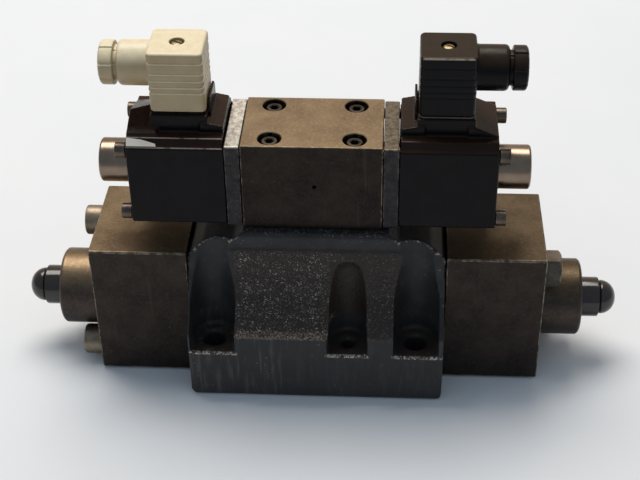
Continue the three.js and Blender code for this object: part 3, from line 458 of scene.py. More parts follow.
def browned_steel(name, tint, lit_top_tint, edge=0.4, rough=(0.40, 0.54)):
    """Ground steel with a brown oxide, with light painted in. The tints are the brightness of its sides,
    painted as shade, and of its top, painted as lit.
    edge is how strong a painted highlight, partly rubbed wear, lies along its bevels."""
    g = Graph(name)
    blotches = g.ramp(g.noise(14, 6, 0.6), 0.3, 0.7)
    mottling = g.product(g.ramp(g.noise(1.3, 5, 0.75), 0.45, 0.72), 0.45)
    # Painted light and shade: shaded_sides is the darker colour of upright faces, lit_tops the lighter,
    # warmer colour of faces that look up.
    shaded_sides = g.mix(blotches, scaled(tint, (0.020, 0.016, 0.0145)), scaled(tint, (0.034, 0.027, 0.023)))
    shaded_sides = g.mix(mottling, shaded_sides, scaled(tint, (0.060, 0.046, 0.036)))
    lit_tops = g.mix(blotches, scaled(lit_top_tint, (0.080, 0.056, 0.033)), scaled(lit_top_tint, (0.118, 0.084, 0.050)))
    lit_tops = g.mix(mottling, lit_tops, scaled(lit_top_tint, (0.20, 0.15, 0.10)))
    colour = g.mix(g.upward(), shaded_sides, lit_tops)
    dots = g.product(g.ramp(g.cells(3.2), 0.07, 0.03), g.ramp(g.noise(16, 2), 0.42, 0.55))
    colour = g.mix(g.product(dots, 0.6), colour, (0.32, 0.27, 0.20))
    scratches = g.ramp(g.noise(5, 2, 0.5, (1, 1, 0.06)), 0.68, 0.72)
    colour = g.mix(g.product(scratches, 0.05), colour, (0.20, 0.17, 0.13))
    # Painted highlight, partly rubbed wear: a brighter colour on the bevels, where the edges catch the
    # light.
    if edge:
        highlight_and_wear = g.product(g.bevels(), g.ramp(g.noise(4, 5, 0.75), 0.42, 0.60, 0.10, 1.0))
        colour = g.mix(g.product(highlight_and_wear, edge), colour, (0.50, 0.42, 0.31))
    g.bump(g.noise(0.6, 4, 0.7), 0.16, 0.22)
    roughness = g.ramp(g.noise(3, 5, 0.6), 0.25, 0.75, *rough)
    return g.finish(base_color=colour, roughness=roughness, metallic=0.92)


def turned_steel(name, dark, light, rough=(0.25, 0.4), metallic=1.0):
    """Steel with the fine rings that a lathe leaves round X."""
    g = Graph(name)
    colour = g.mix(g.ramp(g.noise(6, 5, 0.6), 0.3, 0.7), dark, light)
    g.bump(g.noise(0.5, 2, 0.5, (1, 0.02, 0.02)), 0.10, 0.12)
    roughness = g.ramp(g.noise(2.5, 4), 0.3, 0.7, *rough)
    return g.finish(base_color=colour, roughness=roughness, metallic=metallic)


def edge_highlight_masks(g, lines, ridge):
    """Masks of painted highlights along edges, partly rubbed wear: lines given as (y, z, half width), and
    ridges sharper than ridge.
    """
    masks = []
    if ridge:
        masks.append(g.product(g.ridges(ridge, ridge + 0.05), g.ramp(g.noise(2.5, 4, 0.7), 0.42, 0.56)))
    for across, height, width in lines:
        _, y, z = g.place()
        high = g.within(z, height - width, height + width, 0.25)
        wide = g.within(g.absolute(y), across - width, across + width, 0.25)
        masks.append(g.product(high, wide, g.ramp(g.noise(4, 4), 0.35, 0.5, 0.3, 1.0)))
    return masks


def plastic(name, dark, light, rough=(0.35, 0.5), grain=0.06, specular=0.5, top=None, highlight_colour=None, lines=(),
            ridge=None):
    """Moulded plastic. top is a lighter, warmer colour painted on faces that look up, as painted light, and
    highlight_colour that of painted highlights along its edges, partly rubbed wear.
    """
    g = Graph(name)
    colour = g.mix(g.ramp(g.noise(11, 5, 0.6), 0.3, 0.7), dark, light)
    # Painted light: faces that look up take the top colour, in patches.
    if top:
        patchy_lit_top = g.ramp(g.noise(3.5, 5, 0.7), 0.30, 0.65, 0.8, 1.0)
        colour = g.mix(g.product(g.upward(0.25, 0.8), patchy_lit_top), colour, top)
    # Painted highlights, partly rubbed wear, along the given edge lines and sharp ridges.
    highlight_and_wear = edge_highlight_masks(g, lines, ridge)
    if highlight_and_wear:
        colour = g.mix(g.product(g.largest(*highlight_and_wear), 0.85), colour, highlight_colour)
    dust = g.product(g.ramp(g.cells(3.7), 0.05, 0.02), 0.3)
    colour = g.mix(dust, colour, tuple(min(1.0, 0.08 + 1.2 * part) for part in light))
    g.bump(g.noise(0.35, 3, 0.6), grain, 0.12)
    g.shader.inputs["Specular IOR Level"].default_value = specular
    return g.finish(base_color=colour, roughness=g.ramp(g.noise(4, 4), 0.3, 0.7, *rough))


def zinc(name, lit_top_stained, lit_top_clean):
    """Dull zinc plate with a grainy face. Its tops are painted lit, in the two given colours, and its
    upright sides darker, as painted shade.
    """
    g = Graph(name)
    colour = g.mix(g.ramp(g.noise(3, 6, 0.7), 0.3, 0.7), (0.022, 0.021, 0.0225), (0.042, 0.040, 0.041))
    # Painted light and shade: faces that look up take the lit colours, upright faces keep the darker grey.
    colour = g.mix(g.upward(), colour, g.mix(g.ramp(g.noise(2.5, 6, 0.7), 0.35, 0.65), lit_top_stained, lit_top_clean))
    specks = g.product(g.ramp(g.noise(0.8, 4, 0.8), 0.56, 0.68), g.ramp(g.upward(), 0, 1, 0.08, 0.5))
    colour = g.mix(specks, colour, scaled(1.5, lit_top_clean))
    # Painted highlight, partly rubbed wear, on the bevels.
    highlight_and_wear = g.product(g.bevels(), g.ramp(g.noise(3, 4), 0.4, 0.6))
    colour = g.mix(g.product(highlight_and_wear, 0.15), colour, (0.50, 0.45, 0.38))
    g.bump(g.noise(0.8, 5, 0.75), 0.3, 0.3)
    roughness = g.ramp(g.noise(2, 4), 0.3, 0.7, 0.42, 0.58)
    return g.finish(base_color=colour, roughness=roughness, metallic=0.85)


MATERIALS = {
    "casting": casting_material(),
    # Painted light: the left cap and boss get brighter tops than the right ones, as lit by the softbox on
    # the left, and the pilot a top much brighter than its sides.
    "cap_left": browned_steel("lit_cap_steel_left", 1.25, 1.4),
    "cap_right": browned_steel("shaded_cap_steel_right", 1.25, 0.85),
    "pilot": browned_steel("pilot_steel", 0.85, 1.75, 0.3),
    "boss_left": browned_steel("lit_boss_steel_left", 2.2, 1.6, 0.0, (0.36, 0.46)),
    "boss_right": browned_steel("shaded_boss_steel_right", 1.9, 0.8, 0.0, (0.36, 0.46)),
    "bolt": turned_steel("bolt_steel", (0.17, 0.135, 0.098), (0.29, 0.235, 0.17), (0.38, 0.48), 0.9),
    "black_bolt": turned_steel(
        "black_bolt_steel", (0.035, 0.028, 0.022), (0.08, 0.062, 0.045), (0.3, 0.45), 0.9),
    "hexagon": turned_steel("hexagon_steel", (0.08, 0.065, 0.05), (0.15, 0.125, 0.10), (0.38, 0.5), 0.9),
    "tube": turned_steel("tube_steel", (0.22, 0.165, 0.125), (0.27, 0.205, 0.155), (0.24, 0.27)),
    "screw": turned_steel("coil_screw_steel", (0.075, 0.060, 0.048), (0.15, 0.122, 0.098), (0.3, 0.42)),
    "bright": turned_steel("bright_steel", (0.50, 0.48, 0.45), (0.66, 0.64, 0.60)),
    "spring": turned_steel("spring_steel", (0.28, 0.28, 0.29), (0.42, 0.42, 0.43)),
    "brass": turned_steel("brass", (0.19, 0.14, 0.075), (0.33, 0.255, 0.145), (0.34, 0.46)),
    # Painted light: the left flange gets bright, lit tops, the right one dark, shaded tops, over its real
    # brown stain.
    "zinc": zinc("zinc_plate", (0.28, 0.255, 0.22), (0.58, 0.55, 0.50)),
    "shaded_brown_zinc": zinc("shaded_stained_zinc_plate", (0.075, 0.056, 0.038), (0.15, 0.125, 0.092)),
    # Painted light: top gives the coils a warm sheen, the ivory plug a lit top and the black plug a warm
    # reflection on its top. The edge lines of the left coil and the black plug are painted highlights,
    # partly rubbed wear.
    "coil_left": plastic(
        "coil_plastic_left", (0.0040, 0.0035, 0.0045), (0.0068, 0.0060, 0.0073), (0.20, 0.30), 0.05, 0.11,
        top=(0.032, 0.015, 0.009), highlight_colour=(0.42, 0.36, 0.30), ridge=0.56,
        lines=((COIL_EDGE_Y, COIL_TOP - 0.1, 0.35), (DECK_HALF_Y, DECK_TOP - 0.1, 0.12))),
    "coil_right": plastic(
        "coil_plastic_right", (0.0038, 0.0034, 0.0042), (0.0062, 0.0055, 0.0065), (0.20, 0.30), 0.05, 0.11,
        top=(0.026, 0.013, 0.008)),
    "ivory": plastic(
        "ivory_plastic", (0.38, 0.285, 0.155), (0.44, 0.335, 0.19), (0.34, 0.44), 0.06, 0.5,
        top=(0.84, 0.73, 0.50)),
    "black": plastic(
        "black_plastic", (0.003, 0.003, 0.0035), (0.0045, 0.004, 0.005), (0.26, 0.36), 0.06, 0.12,
        top=(0.028, 0.017, 0.010), highlight_colour=(0.40, 0.32, 0.25),
        lines=((PLUG_HALF - 0.1, PLUG_TOP - 0.4, 0.45),)),
    "rubber": plastic("rubber", (0.003, 0.003, 0.003), (0.006, 0.006, 0.006), (0.7, 0.85), 0.15, 0.12),
    # Painted highlight: the right gasket is grey, lighter than the left one, to paint the light line along
    # the bottom of the right plug.
    "highlight_grey_rubber": plastic(
        "highlight_grey_rubber", (0.05, 0.045, 0.04), (0.08, 0.072, 0.062), (0.5, 0.65), 0.15, 0.3),
    "dome": plastic("dome_plastic", (0.012, 0.008, 0.006), (0.020, 0.013, 0.010), (0.12, 0.18), 0.02, 0.6),
    "label": plastic("label_paper", (0.84, 0.75, 0.63), (0.92, 0.84, 0.72), (0.6, 0.75), 0.08, 0.2),
}


# ---------------------------------------------------------------- main stage
def mirrored(points):
    return list(points) + [(-u, v) for u, v in reversed(points)]


def prism(name, outline, low, high, axis):
    sections = [[AXES[axis](along, u, v) for u, v in outline] for along in (low, high)]
    return loft(name, sections)


def casting_front():
    """The casting seen from the front, about its middle: (across, height)."""
    half = HALF_X
    return mirrored([
        (half - 1.6, 0), (half, 3), (half, 73.5), (half - 2, 76.5), (half - 7.5, 81),
        (half - 13.5, 82.8), (half - 23.5, 85), (half - 28.5, SEAT_Z),
    ])


def casting_side():
    """The casting seen from the side, about its middle: foot, leaning panel and the lip under the seat."""
    foot = HALF_Y
    return mirrored([
        (foot - 1, 0), (foot, 1.5), (foot, FOOT_EDGE), (foot - 7.7, 46), (foot - 14.2, 54.5),
        (foot - 18.7, 65), (foot - 20.9, 76), (foot - 19.4, 80.5), (foot - 19.4, 86.8),
        (foot - 21.2, SEAT_Z),
    ])


def circle(x, y, z, radius, count=48):
    angles = [2 * math.pi * i / count for i in range(count)]
    return [(x + radius * math.cos(a), y + radius * math.sin(a), z) for a in angles]


def opened(points, y):
    """Repeats the points well outside the casting, on the side where y is."""
    out = math.copysign(25, y)
    return points + [(px, py + out, pz) for px, py, pz in points]


def side_pocket(x, y, radius):
    """Opens to the front or the back, and upwards."""
    points = circle(x, y, POCKET_FLOOR, radius) + circle(x, y, SEAT_Z + 5, radius)
    return convex("side_pocket", opened(points, y))


def arched_pocket(x, y, radius):
    """Opens to the front or the back under a round arch."""
    crown_y = y - math.copysign(4.0, y)
    crown_z, crown_radius = 65.5, 8.2
    points = circle(x, y, POCKET_FLOOR, radius)
    steps = 9
    for i in range(steps):
        tilt = math.pi / 2 * i / steps
        height = crown_z + crown_radius * math.sin(tilt)
        points += circle(x, crown_y, height, crown_radius * math.cos(tilt), 36)
    return convex("arched_pocket", opened(points, y))


def bolt_hole(x, y, hole_radius, spot_radius):
    hole = rod("hole", hole_radius, -1, POCKET_FLOOR + 1, (x, y, 0), "z")
    spot_z = POCKET_FLOOR - SPOT_FACE_DEPTH
    spot_face = rod("spot_face", spot_radius, spot_z, POCKET_FLOOR + 1, (x, y, 0), "z")
    return [hole, spot_face]


def casting():
    front = [(CASTING_X + u, v) for u, v in casting_front()]
    body = prism("casting", front, -HALF_Y, HALF_Y, "y")
    side = prism("side", casting_side(), CASTING_X - HALF_X, CASTING_X + HALF_X, "x")
    combine(body, [side], "INTERSECT")
    cuts = []
    for x, y in MAIN_BOLTS:
        cuts.append(side_pocket(x, y, MAIN_POCKET_R))
        cuts += bolt_hole(x, y, MAIN_HOLE_R, MAIN_SPOT_R)
    for x, y in SMALL_BOLTS:
        cuts.append(arched_pocket(x, y, SMALL_POCKET_R))
        cuts += bolt_hole(x, y, SMALL_HOLE_R, SMALL_SPOT_R)
    combine(body, cuts)
    softened(body, 0.9, 5)
    combine(body, casting_openings())
    fit(body, "main_body", FIXED, MATERIALS["casting"], 40)


def casting_openings():
    """Machined holes in the mounting face, and the main bore."""
    cuts = [rod("bore", MAIN_BORE_R, -HALF_X - 1, HALF_X + 1, (CASTING_X, 0, MAIN_Z))]
    for port in "ptabxy":
        seal = middle(f"port_seal_{port}")
        outer = (box_mm(f"port_seal_{port}")[1].x - seal.x) + 0.4
        radius, top = (PILOT_PORT_R, 60) if port in "xy" else (PORT_R, MAIN_Z + 3.5)
        cuts.append(rod("port", radius, -1, top, (seal.x, seal.y, 0), "z"))
        cuts.append(rod("recess", outer, -1, 2.4, (seal.x, seal.y, 0), "z"))
    cuts.append(rod("drain", PILOT_PORT_R, -1, 8, (DRAIN_X, 0, 0), "z"))
    for x, y in PIN_HOLES:
        cuts.append(rod("pin_hole", PIN_HOLE_R, -1, 8, (x, y, 0), "z", 1, 32))
    return cuts


def end_cap(name, side):
    low, high = box_mm(f"end_cap_{name}")
    outer, inner = (high.x, low.x) if side > 0 else (low.x, high.x)
    hole_r, spigot_r, chamber_r, chamber_depth = 5.6, 9.3, 14, 34
    body = block("end_cap", low, high)
    bevelled(body, 0.9, 3)
    cuts = []
    for height in ("top", "bottom"):
        bolt = middle(f"cap_bolt_{name}_{height}")
        cuts.append(rod("hole", hole_r, -8, 1, (outer, bolt.y, bolt.z), "x", side))
    cuts.append(rod("spigot", spigot_r, -12, 1, (outer, 0, MAIN_Z), "x", side))
    cuts.append(rod("chamber", chamber_r, -1, chamber_depth, (inner, 0, MAIN_Z), "x", side))
    combine(body, cuts)
    fit(body, f"end_cap_{name}", FIXED, MATERIALS[f"cap_{name}"], 32)


def stroke_housing(name, side):
    low, high = box_mm(f"stroke_housing_{name}")
    cap_length = 49.6
    start = CASTING_X + side * (HALF_X + cap_length)
    end = (high.x - start) if side > 0 else (start - low.x)
    radius = (high.z - low.z) / 2
    bore = 6.3
    profile = [(-11, bore), (-11, 9), (0, 9), (0, radius - 0.9), (0.9, radius)]
    profile += [(end - 1.6, radius), (end - 1.1, radius - 0.15), (end - 0.35, radius - 0.8)]
    profile += [(end, radius - 1.4), (end, radius - 4), (end - 0.5, radius - 4.6)]
    profile += [(end - 0.5, bore + 1), (end - 0.1, bore + 0.3), (end - 0.6, bore)]
    body = lathe("stroke_housing", profile, (start, 0, MAIN_Z), "x", side, 128)
    fit(body, f"stroke_housing_{name}", FIXED, MATERIALS[f"boss_{name}"], 32)


def dome_cap(name, side):
    low, high = box_mm(f"dome_cap_{name}")
    start = low.x if side > 0 else high.x
    length = high.x - low.x
    collar = (high.z - low.z) / 2
    bore = 6.6
    profile = [(11.5, 0), (11.5, bore), (0, bore), (0, collar - 0.8), (0.25, collar - 0.2), (0.9, collar)]
    profile += [(9.0, collar), (9.6, collar - 0.2), (9.9, collar - 0.7), (10.0, collar - 1.3)]
    profile += [(10.0, 8.2), (10.25, 7.9), (10.6, 8.5), (11.0, 8.8)]
    steps = 20
    dome_start, dome_radius = profile[-1]
    for i in range(1, steps):
        angle = math.pi / 2 * i / steps
        along = dome_start + (length - dome_start) * math.sin(angle)
        profile.append((along, dome_radius * math.cos(angle) ** 0.92))
    profile.append((length, 0))
    body = lathe("dome_cap", profile, (start, 0, MAIN_Z), "x", side, 128)
    fit(body, f"dome_cap_{name}", FIXED, MATERIALS["dome"], 40)


def stroke_screw(name, side):
    low, high = box_mm(f"stroke_screw_{name}")
    start = low.x if side > 0 else high.x
    length = high.x - low.x
    profile = [(0, 0), (0, 4.6), (0.9, 5.5)]
    pitch = 1.5
    along = 12.0
    while along < length - 2:
        profile += [(along, 6), (along + pitch / 2, 5.2)]
        along += pitch
    profile += [(length - 0.8, 6), (length, 5.2), (length, 0)]
    body = lathe("stroke_screw", profile, (start, 0, MAIN_Z), "x", side, 64)
    socket = rod("socket", 3.1, length - 4, length + 1, (start, 0, MAIN_Z), "x", side, 6)
    combine(body, [socket])
    fit(body, f"stroke_screw_{name}", f"stroke_screw_{name}", MATERIALS["bright"], 25)


def socket_screw(node, axis, side, size, material):
    """A cap screw with a rounded rim, a plain head and a chamfered hexagon socket."""
    low, high = box_mm(node)
    centre = middle(node)
    index = "xyz".index(axis)
    tip = low[index] if side > 0 else high[index]
    length = high[index] - low[index]
    head = 0.78 * size
    shank = size / 2
    seat = length - size
    rim = 0.09 * size
    profile = [(0, 0), (0, shank - 0.8), (0.8, shank), (seat - 0.3, shank), (seat, shank + 0.3)]
    profile += [(seat, head - 0.15 * rim), (seat + 0.3 * rim, head), (length - 1.3 * rim, head)]
    profile += [(length - 0.55 * rim, head - 0.18 * rim), (length - 0.12 * rim, head - 0.62 * rim)]
    profile += [(length, head - 1.3 * rim), (length, 0.5 * size), (length - 0.06 * size, 0.455 * size)]
    profile += [(length - 0.06 * size, 0)]
    place = Vector(centre)
    place[index] = tip
    body = lathe(node, profile, place, axis, side, 64)
    socket = rod("socket", 0.455 * size, length - 0.58 * size, length + 1, place, axis, side, 6)
    combine(body, [socket])
    fit(body, node, FIXED, material, 28)


def hexagon_bolt(node, side, size, material):
    """A hexagon head with chamfered corners on a round washer face."""
    low, high = box_mm(node)
    centre = middle(node)
    tip = low.x if side > 0 else high.x
    length = high.x - low.x
    place = (tip, centre.y, centre.z)
    washer_high = 1.0
    seat = length - 0.68 * size - washer_high
    corner = 0.93 * size
    flat = corner * math.cos(math.pi / 6)
    shank = size / 2
    washer_r = 0.82 * size
    head = rod("head", corner, seat + 0.6, length, place, "x", side, 6)
    crown = [(seat, 0), (seat, corner - 0.5), (seat + 1.4, corner + 0.1), (length - 1.5, corner + 0.1)]
    crown += [(length - 0.15, flat - 0.15), (length, flat - 0.5), (length, 0)]
    combine(head, [lathe("crown", crown, place, "x", side, 96)], "INTERSECT")
    washer = [(0, 0), (0, shank - 0.8), (0.8, shank), (seat, shank), (seat, washer_r - 0.2)]
    washer += [(seat + 0.2, washer_r), (seat + washer_high - 0.3, washer_r)]
    washer += [(seat + washer_high, washer_r - 0.3), (seat + washer_high, 0)]
    body = lathe(node, washer, place, "x", side, 64)
    combine(body, [head], "UNION")
    fit(body, node, FIXED, material, 28)


def port_seal(port):
    node = f"port_seal_{port}"
    low, high = box_mm(node)
    section = (high.z - low.z) / 2
    radius = (high.x - low.x) / 2 - section
    steps = 20
    profile = []
    for i in range(steps):
        angle = 2 * math.pi * i / steps
        profile.append((section * math.sin(angle), radius + section * math.cos(angle)))
    body = lathe(node, profile, middle(node), "z", 1, 96)
    fit(body, node, FIXED, MATERIALS["rubber"], 180)


# ---------------------------------------------------------------- pilot valve
def pilot_block():
    low, high = box_mm("pilot_body")
    body = block("pilot_block", low, high)
    bevelled(body, 0.6, 3)
    cuts = []
    counterbore, depth, rim_high = 5.7, 6.5, 0.35
    for number in (1, 2, 3, 4):
        x, y, _ = middle(f"pilot_screw_{number}")
        cuts.append(rod("counterbore", counterbore, high.z - depth, high.z + 1, (x, y, 0), "z"))
        rim = [(high.z - rim_high, 0), (high.z - rim_high, counterbore)]
        rim += [(high.z + 0.2, counterbore + 0.2 + rim_high), (high.z + 0.2, 0)]
        cuts.append(lathe("rim", rim, (x, y, 0), "z", 1, 64))
    for end, side in ((high.x, 1), (low.x, -1)):
        cuts.append(rod("socket", TUBE_BORE_R, -7.9, 1, (end, 0, PILOT_Z), "x", side))
    cuts.append(rod("vent", 1.1, -4, 1, (PILOT_X + 1.2, low.y, 113), "y", -1, 32))
    combine(body, cuts)
    fit(body, "pilot_body", FIXED, MATERIALS["pilot"], 32)


def flange_plate(name, material):
    low, high = box_mm(f"flange_plate_{name}")
    middle_x = (low.x + high.x) / 2
    half_y = (high.y - low.y) / 2
    half_z = (high.z - low.z) / 2
    outline = [(u, v + PILOT_Z) for u, v in rounded_rectangle(half_y, half_z, 1.3)]
    body = prism("flange", outline, low.x, high.x, "x")
    bevelled(body, 0.5, 3, 50)
    combine(body, [rod("bore", TUBE_BORE_R, -20, 20, (middle_x, 0, PILOT_Z), "x")])
    fit(body, f"flange_plate_{name}", FIXED, material, 35)


def coil(name, side):
    """Moulded block, a deck with sloped edges, wings that fall away from the plug, and a pedestal."""
    low, high = box_mm(f"coil_{name}")
    inner = low.x if side > 0 else high.x
    length = high.x - low.x
    plug_along = (middle(f"plug_screw_{name}").x - inner) * side
    half_y = (high.y - low.y) / 2
    inset = 0.4
    near, far = inset, length - inset

    def at(along, y, z):
        return (inner + side * along, y, z)

    def between(start, end):
        return sorted((inner + side * start, inner + side * end))

    outline = [(u, v + PILOT_Z) for u, v in rounded_rectangle(half_y, COIL_TOP - PILOT_Z, 1.4)]
    body = prism("coil", outline, *between(0, length), "x")
    bevelled(body, 0.7, 2, 50)

    deck, outer_wing, inner_wing = [], [], []
    for sy in (-1, 1):
        y = sy * WING_HALF_Y
        for along in (near, far):
            deck += [at(along, sy * (half_y - inset), COIL_TOP - 1), at(along, sy * DECK_HALF_Y, DECK_TOP)]
        outer_wing += [at(plug_along + 10, y, COIL_TOP), at(plug_along + 10, y, WING_TOP)]
        outer_wing += [at(plug_along + PLUG_HALF, y, WING_TOP), at(far, y, WING_TOP - OUTER_DROP)]
        outer_wing += [at(far, y, COIL_TOP)]
        inner_wing += [at(plug_along - 10, y, COIL_TOP), at(plug_along - 10, y, WING_TOP)]
        inner_wing += [at(plug_along - PLUG_HALF, y, WING_TOP), at(near, y, WING_TOP - INNER_DROP)]
        inner_wing += [at(near, y, COIL_TOP)]
    if name == "left":
        outer_wing = ridged_wing(at, plug_along, far)

    ear_side = [(-8, COIL_TOP - 1), (-8, high.z - 2.5), (-5.5, high.z)]
    ear_side += [(9.5, high.z), (12, high.z - 2.5), (12, COIL_TOP - 1)]
    left, right = between(plug_along - 13.6, plug_along + 13.6)
    joins = [
        convex("deck", deck),
        convex("outer_wing", outer_wing),
        convex("inner_wing", inner_wing),
        block("pedestal", (left, -14, COIL_TOP - 4), (right, 14, PEDESTAL_TOP)),
        prism("ear", ear_side, *between(plug_along - 14.9, plug_along - 13.7), "x"),
    ]
    combine(body, joins, "UNION")
    softened(body, 0.42, 3)
    combine(body, [rod("bore", TUBE_BORE_R, -1, length + 1, (inner, 0, PILOT_Z), "x", side)])
    fit(body, f"coil_{name}", FIXED, MATERIALS[f"coil_{name}"], 40)


def ridged_wing(at, plug_along, far):
    """The left coil's outer wing, whose front and back slope up to a ridge."""
    wing = [at(plug_along + PLUG_HALF, -2, 145.4), at(far, -4, 143.2)]
    for z in (COIL_TOP, 138.0):
        wing += [at(plug_along + 10, -18, z), at(far, -18.2, z)]
    for z_near, z_far in ((COIL_TOP, COIL_TOP), (139, 137.4)):
        wing += [at(plug_along + 10, WING_HALF_Y, z_near), at(far, WING_HALF_Y, z_far)]
    return wing


def blank_label():
    """The torn rest of a paper label on the left coil's sloped front edge. Nothing is printed on it."""
    low, _ = box_mm("coil_left")
    bottom = Vector((low.x, -22.55, 133.35))
    slope = Vector((0, 3.0, 3.8))
    normal = Vector((0, -slope.z, slope.y)).normalized()
    corners = [(0.8, 0.12), (15.0, 0.12), (14.6, 0.40), (8.0, 0.78), (0.8, 0.96)]
    sheet = [bottom + Vector((along, 0, 0)) + up * slope for along, up in corners]
    obj = loft("blank_label", [[point + normal * lift for point in sheet] for lift in (0.25, 0.45)])
    shaded(obj)
    obj.data.materials.append(MATERIALS["label"])
    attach(obj, FIXED)


def armature_tube(name, side):
    low, high = box_mm(f"armature_tube_{name}")
    start = low.x if side > 0 else high.x
    end = high.x - low.x
    radius = (high.z - low.z) / 2
    hole = 2.6
    profile = [(0, 2.1), (0, radius - 0.5), (0.5, radius), (end - 1.3, radius)]
    profile += [(end - 0.8, radius - 0.12), (end - 0.35, radius - 0.45), (end - 0.08, radius - 0.95)]
    profile += [(end, radius - 1.6), (end, 5.4), (end - 0.5, 4.9), (end - 0.5, 3.4), (end - 0.9, hole)]
    profile += [(end - 9, hole), (end - 9, 2.1)]
    body = lathe("armature_tube", profile, (start, 0, PILOT_Z), "x", side, 128)
    fit(body, f"armature_tube_{name}", FIXED, MATERIALS["tube"], 32)


def override_pin(name, side):
    low, high = box_mm(f"override_pin_{name}")
    start = low.x if side > 0 else high.x
    length = high.x - low.x
    radius = (high.z - low.z) / 2
    profile = [(0, 0), (0, radius), (length - 0.9, radius), (length - 0.45, radius - 0.15)]
    profile += [(length - 0.12, radius - 0.55), (length, radius - 1.1), (length, 0)]
    body = lathe("override_pin", profile, (start, 0, PILOT_Z), "x", side, 48)
    fit(body, f"override_pin_{name}", f"override_pin_{name}", MATERIALS["brass"], 32)


# ---------------------------------------------------------------- plugs
GROOVES = (5.2, 10.6, 14.2, 17.6, 20.6)        # below the top of the plug
NECK_R = 11.2


def plug_profile(low, high, depth):
    """(z, inset) up the side of a plug: a soft foot, grooves of some depth and a rounded top."""
    rows = [(low, 0.7), (low + 0.25, 0.25), (low + 0.8, 0.0)]
    for below_top in reversed(GROOVES):
        z = high - below_top
        rows += [(z - 1.2, 0.0), (z - 0.75, 0.25 * depth), (z - 0.25, 0.94 * depth), (z + 0.05, depth)]
        rows += [(z + 0.35, 0.6 * depth), (z + 0.8, 0.0)]
    rounding = 1.5
    steps = 6
    for i in range(steps + 1):
        angle = math.pi / 2 * i / steps
        rows.append((high - rounding + rounding * math.sin(angle), rounding * (1 - math.cos(angle))))
    return rows


def plug(name, side, material, groove_depth):
    low, high = box_mm(f"plug_{name}")
    x = middle(f"plug_screw_{name}").x
    sections = []
    for z, inset in plug_profile(low.z, high.z, groove_depth):
        half = PLUG_HALF - inset
        outline = rounded_rectangle(half, half, 2.6 - min(inset, 0.8), 8)
        sections.append([(x + u, v, z) for u, v in outline])
    body = loft("plug", sections)
    reach = (high.x - x) if side > 0 else (x - low.x)
    neck = [(PLUG_HALF - 4, 0), (PLUG_HALF - 4, NECK_R + 0.1), (PLUG_HALF - 0.2, NECK_R + 0.1)]
    neck += [(PLUG_HALF + 0.35, NECK_R - 0.25), (PLUG_HALF + 1.0, NECK_R - 0.35)]
    neck += [(reach - 2.2, NECK_R - 0.35), (reach - 1.2, NECK_R - 0.55), (reach - 0.4, NECK_R - 1.2)]
    neck += [(reach, NECK_R - 2.2), (reach, 0)]
    combine(body, [lathe("neck", neck, (x, 0, GLAND_Z), "x", side, 96)], "UNION")
    screw = box_mm(f"plug_screw_{name}")
    head_r = (screw[1].x - screw[0].x) / 2
    recess = [(high.z - 2.6, 0), (high.z - 2.6, head_r + 0.8), (high.z - 0.5, head_r + 0.8)]
    recess += [(high.z - 0.15, head_r + 0.95), (high.z + 0.3, head_r + 1.5), (high.z + 0.3, 0)]
    inside = PLUG_HALF - 2
    cuts = [
        lathe("recess", recess, (x, 0, 0), "z", 1, 64),
        block("hollow", (x - inside, -inside, low.z - 1), (x + inside, inside, high.z - 5)),
        rod("entry", 7.8, 0, reach + 1, (x, 0, GLAND_Z), "x", side),
        rod("screw_hole", 2, high.z - 15, high.z + 1, (x, 0, 0), "z", 1, 32),
    ]
    combine(body, cuts)
    fit(body, f"plug_{name}", FIXED, material, 38)


def plug_gasket(name, material):
    low, high = box_mm(f"plug_gasket_{name}")
    x, y, _ = middle(f"plug_gasket_{name}")
    half = (high.x - low.x) / 2
    outline = rounded_rectangle(half, half, 2.2, 6)
    sections = []
    for z, inset in ((low.z, 0.15), (low.z + 0.15, 0), (high.z - 0.15, 0), (high.z, 0.15)):
        scale = (half - inset) / half
        sections.append([(x + u * scale, y + v * scale, z) for u, v in outline])
    body = loft("plug_gasket", sections)
    inner = half - 2.9
    combine(body, [block("window", (x - inner, y - inner, low.z - 1), (x + inner, y + inner, high.z + 1))])
    fit(body, f"plug_gasket_{name}", FIXED, material, 35)


def plug_screw(name):
    low, high = box_mm(f"plug_screw_{name}")
    x, y, _ = middle(f"plug_screw_{name}")
    head = (high.x - low.x) / 2
    seat = high.z - 1.9
    profile = [(low.z, 0), (low.z, 1.2), (low.z + 0.3, 1.5), (seat, 1.5), (seat, head - 0.1)]
    profile += [(seat + 0.1, head), (high.z - 0.75, head), (high.z - 0.4, head - 0.2)]
    profile += [(high.z - 0.12, head - 0.7), (high.z, head - 1.4), (high.z, 0)]
    body = lathe("plug_screw", profile, (x, y, 0), "z", 1, 64)
    slot = block("slot", (-0.42, -5, high.z - 0.9), (0.42, 5, high.z + 1))
    turn = Matrix.Rotation(math.radians(60), 4, "Z")
    slot.data.transform(Matrix.Translation((x * MM, y * MM, 0)) @ turn)
    combine(body, [slot])
    fit(body, f"plug_screw_{name}", FIXED, MATERIALS["brass"], 30)


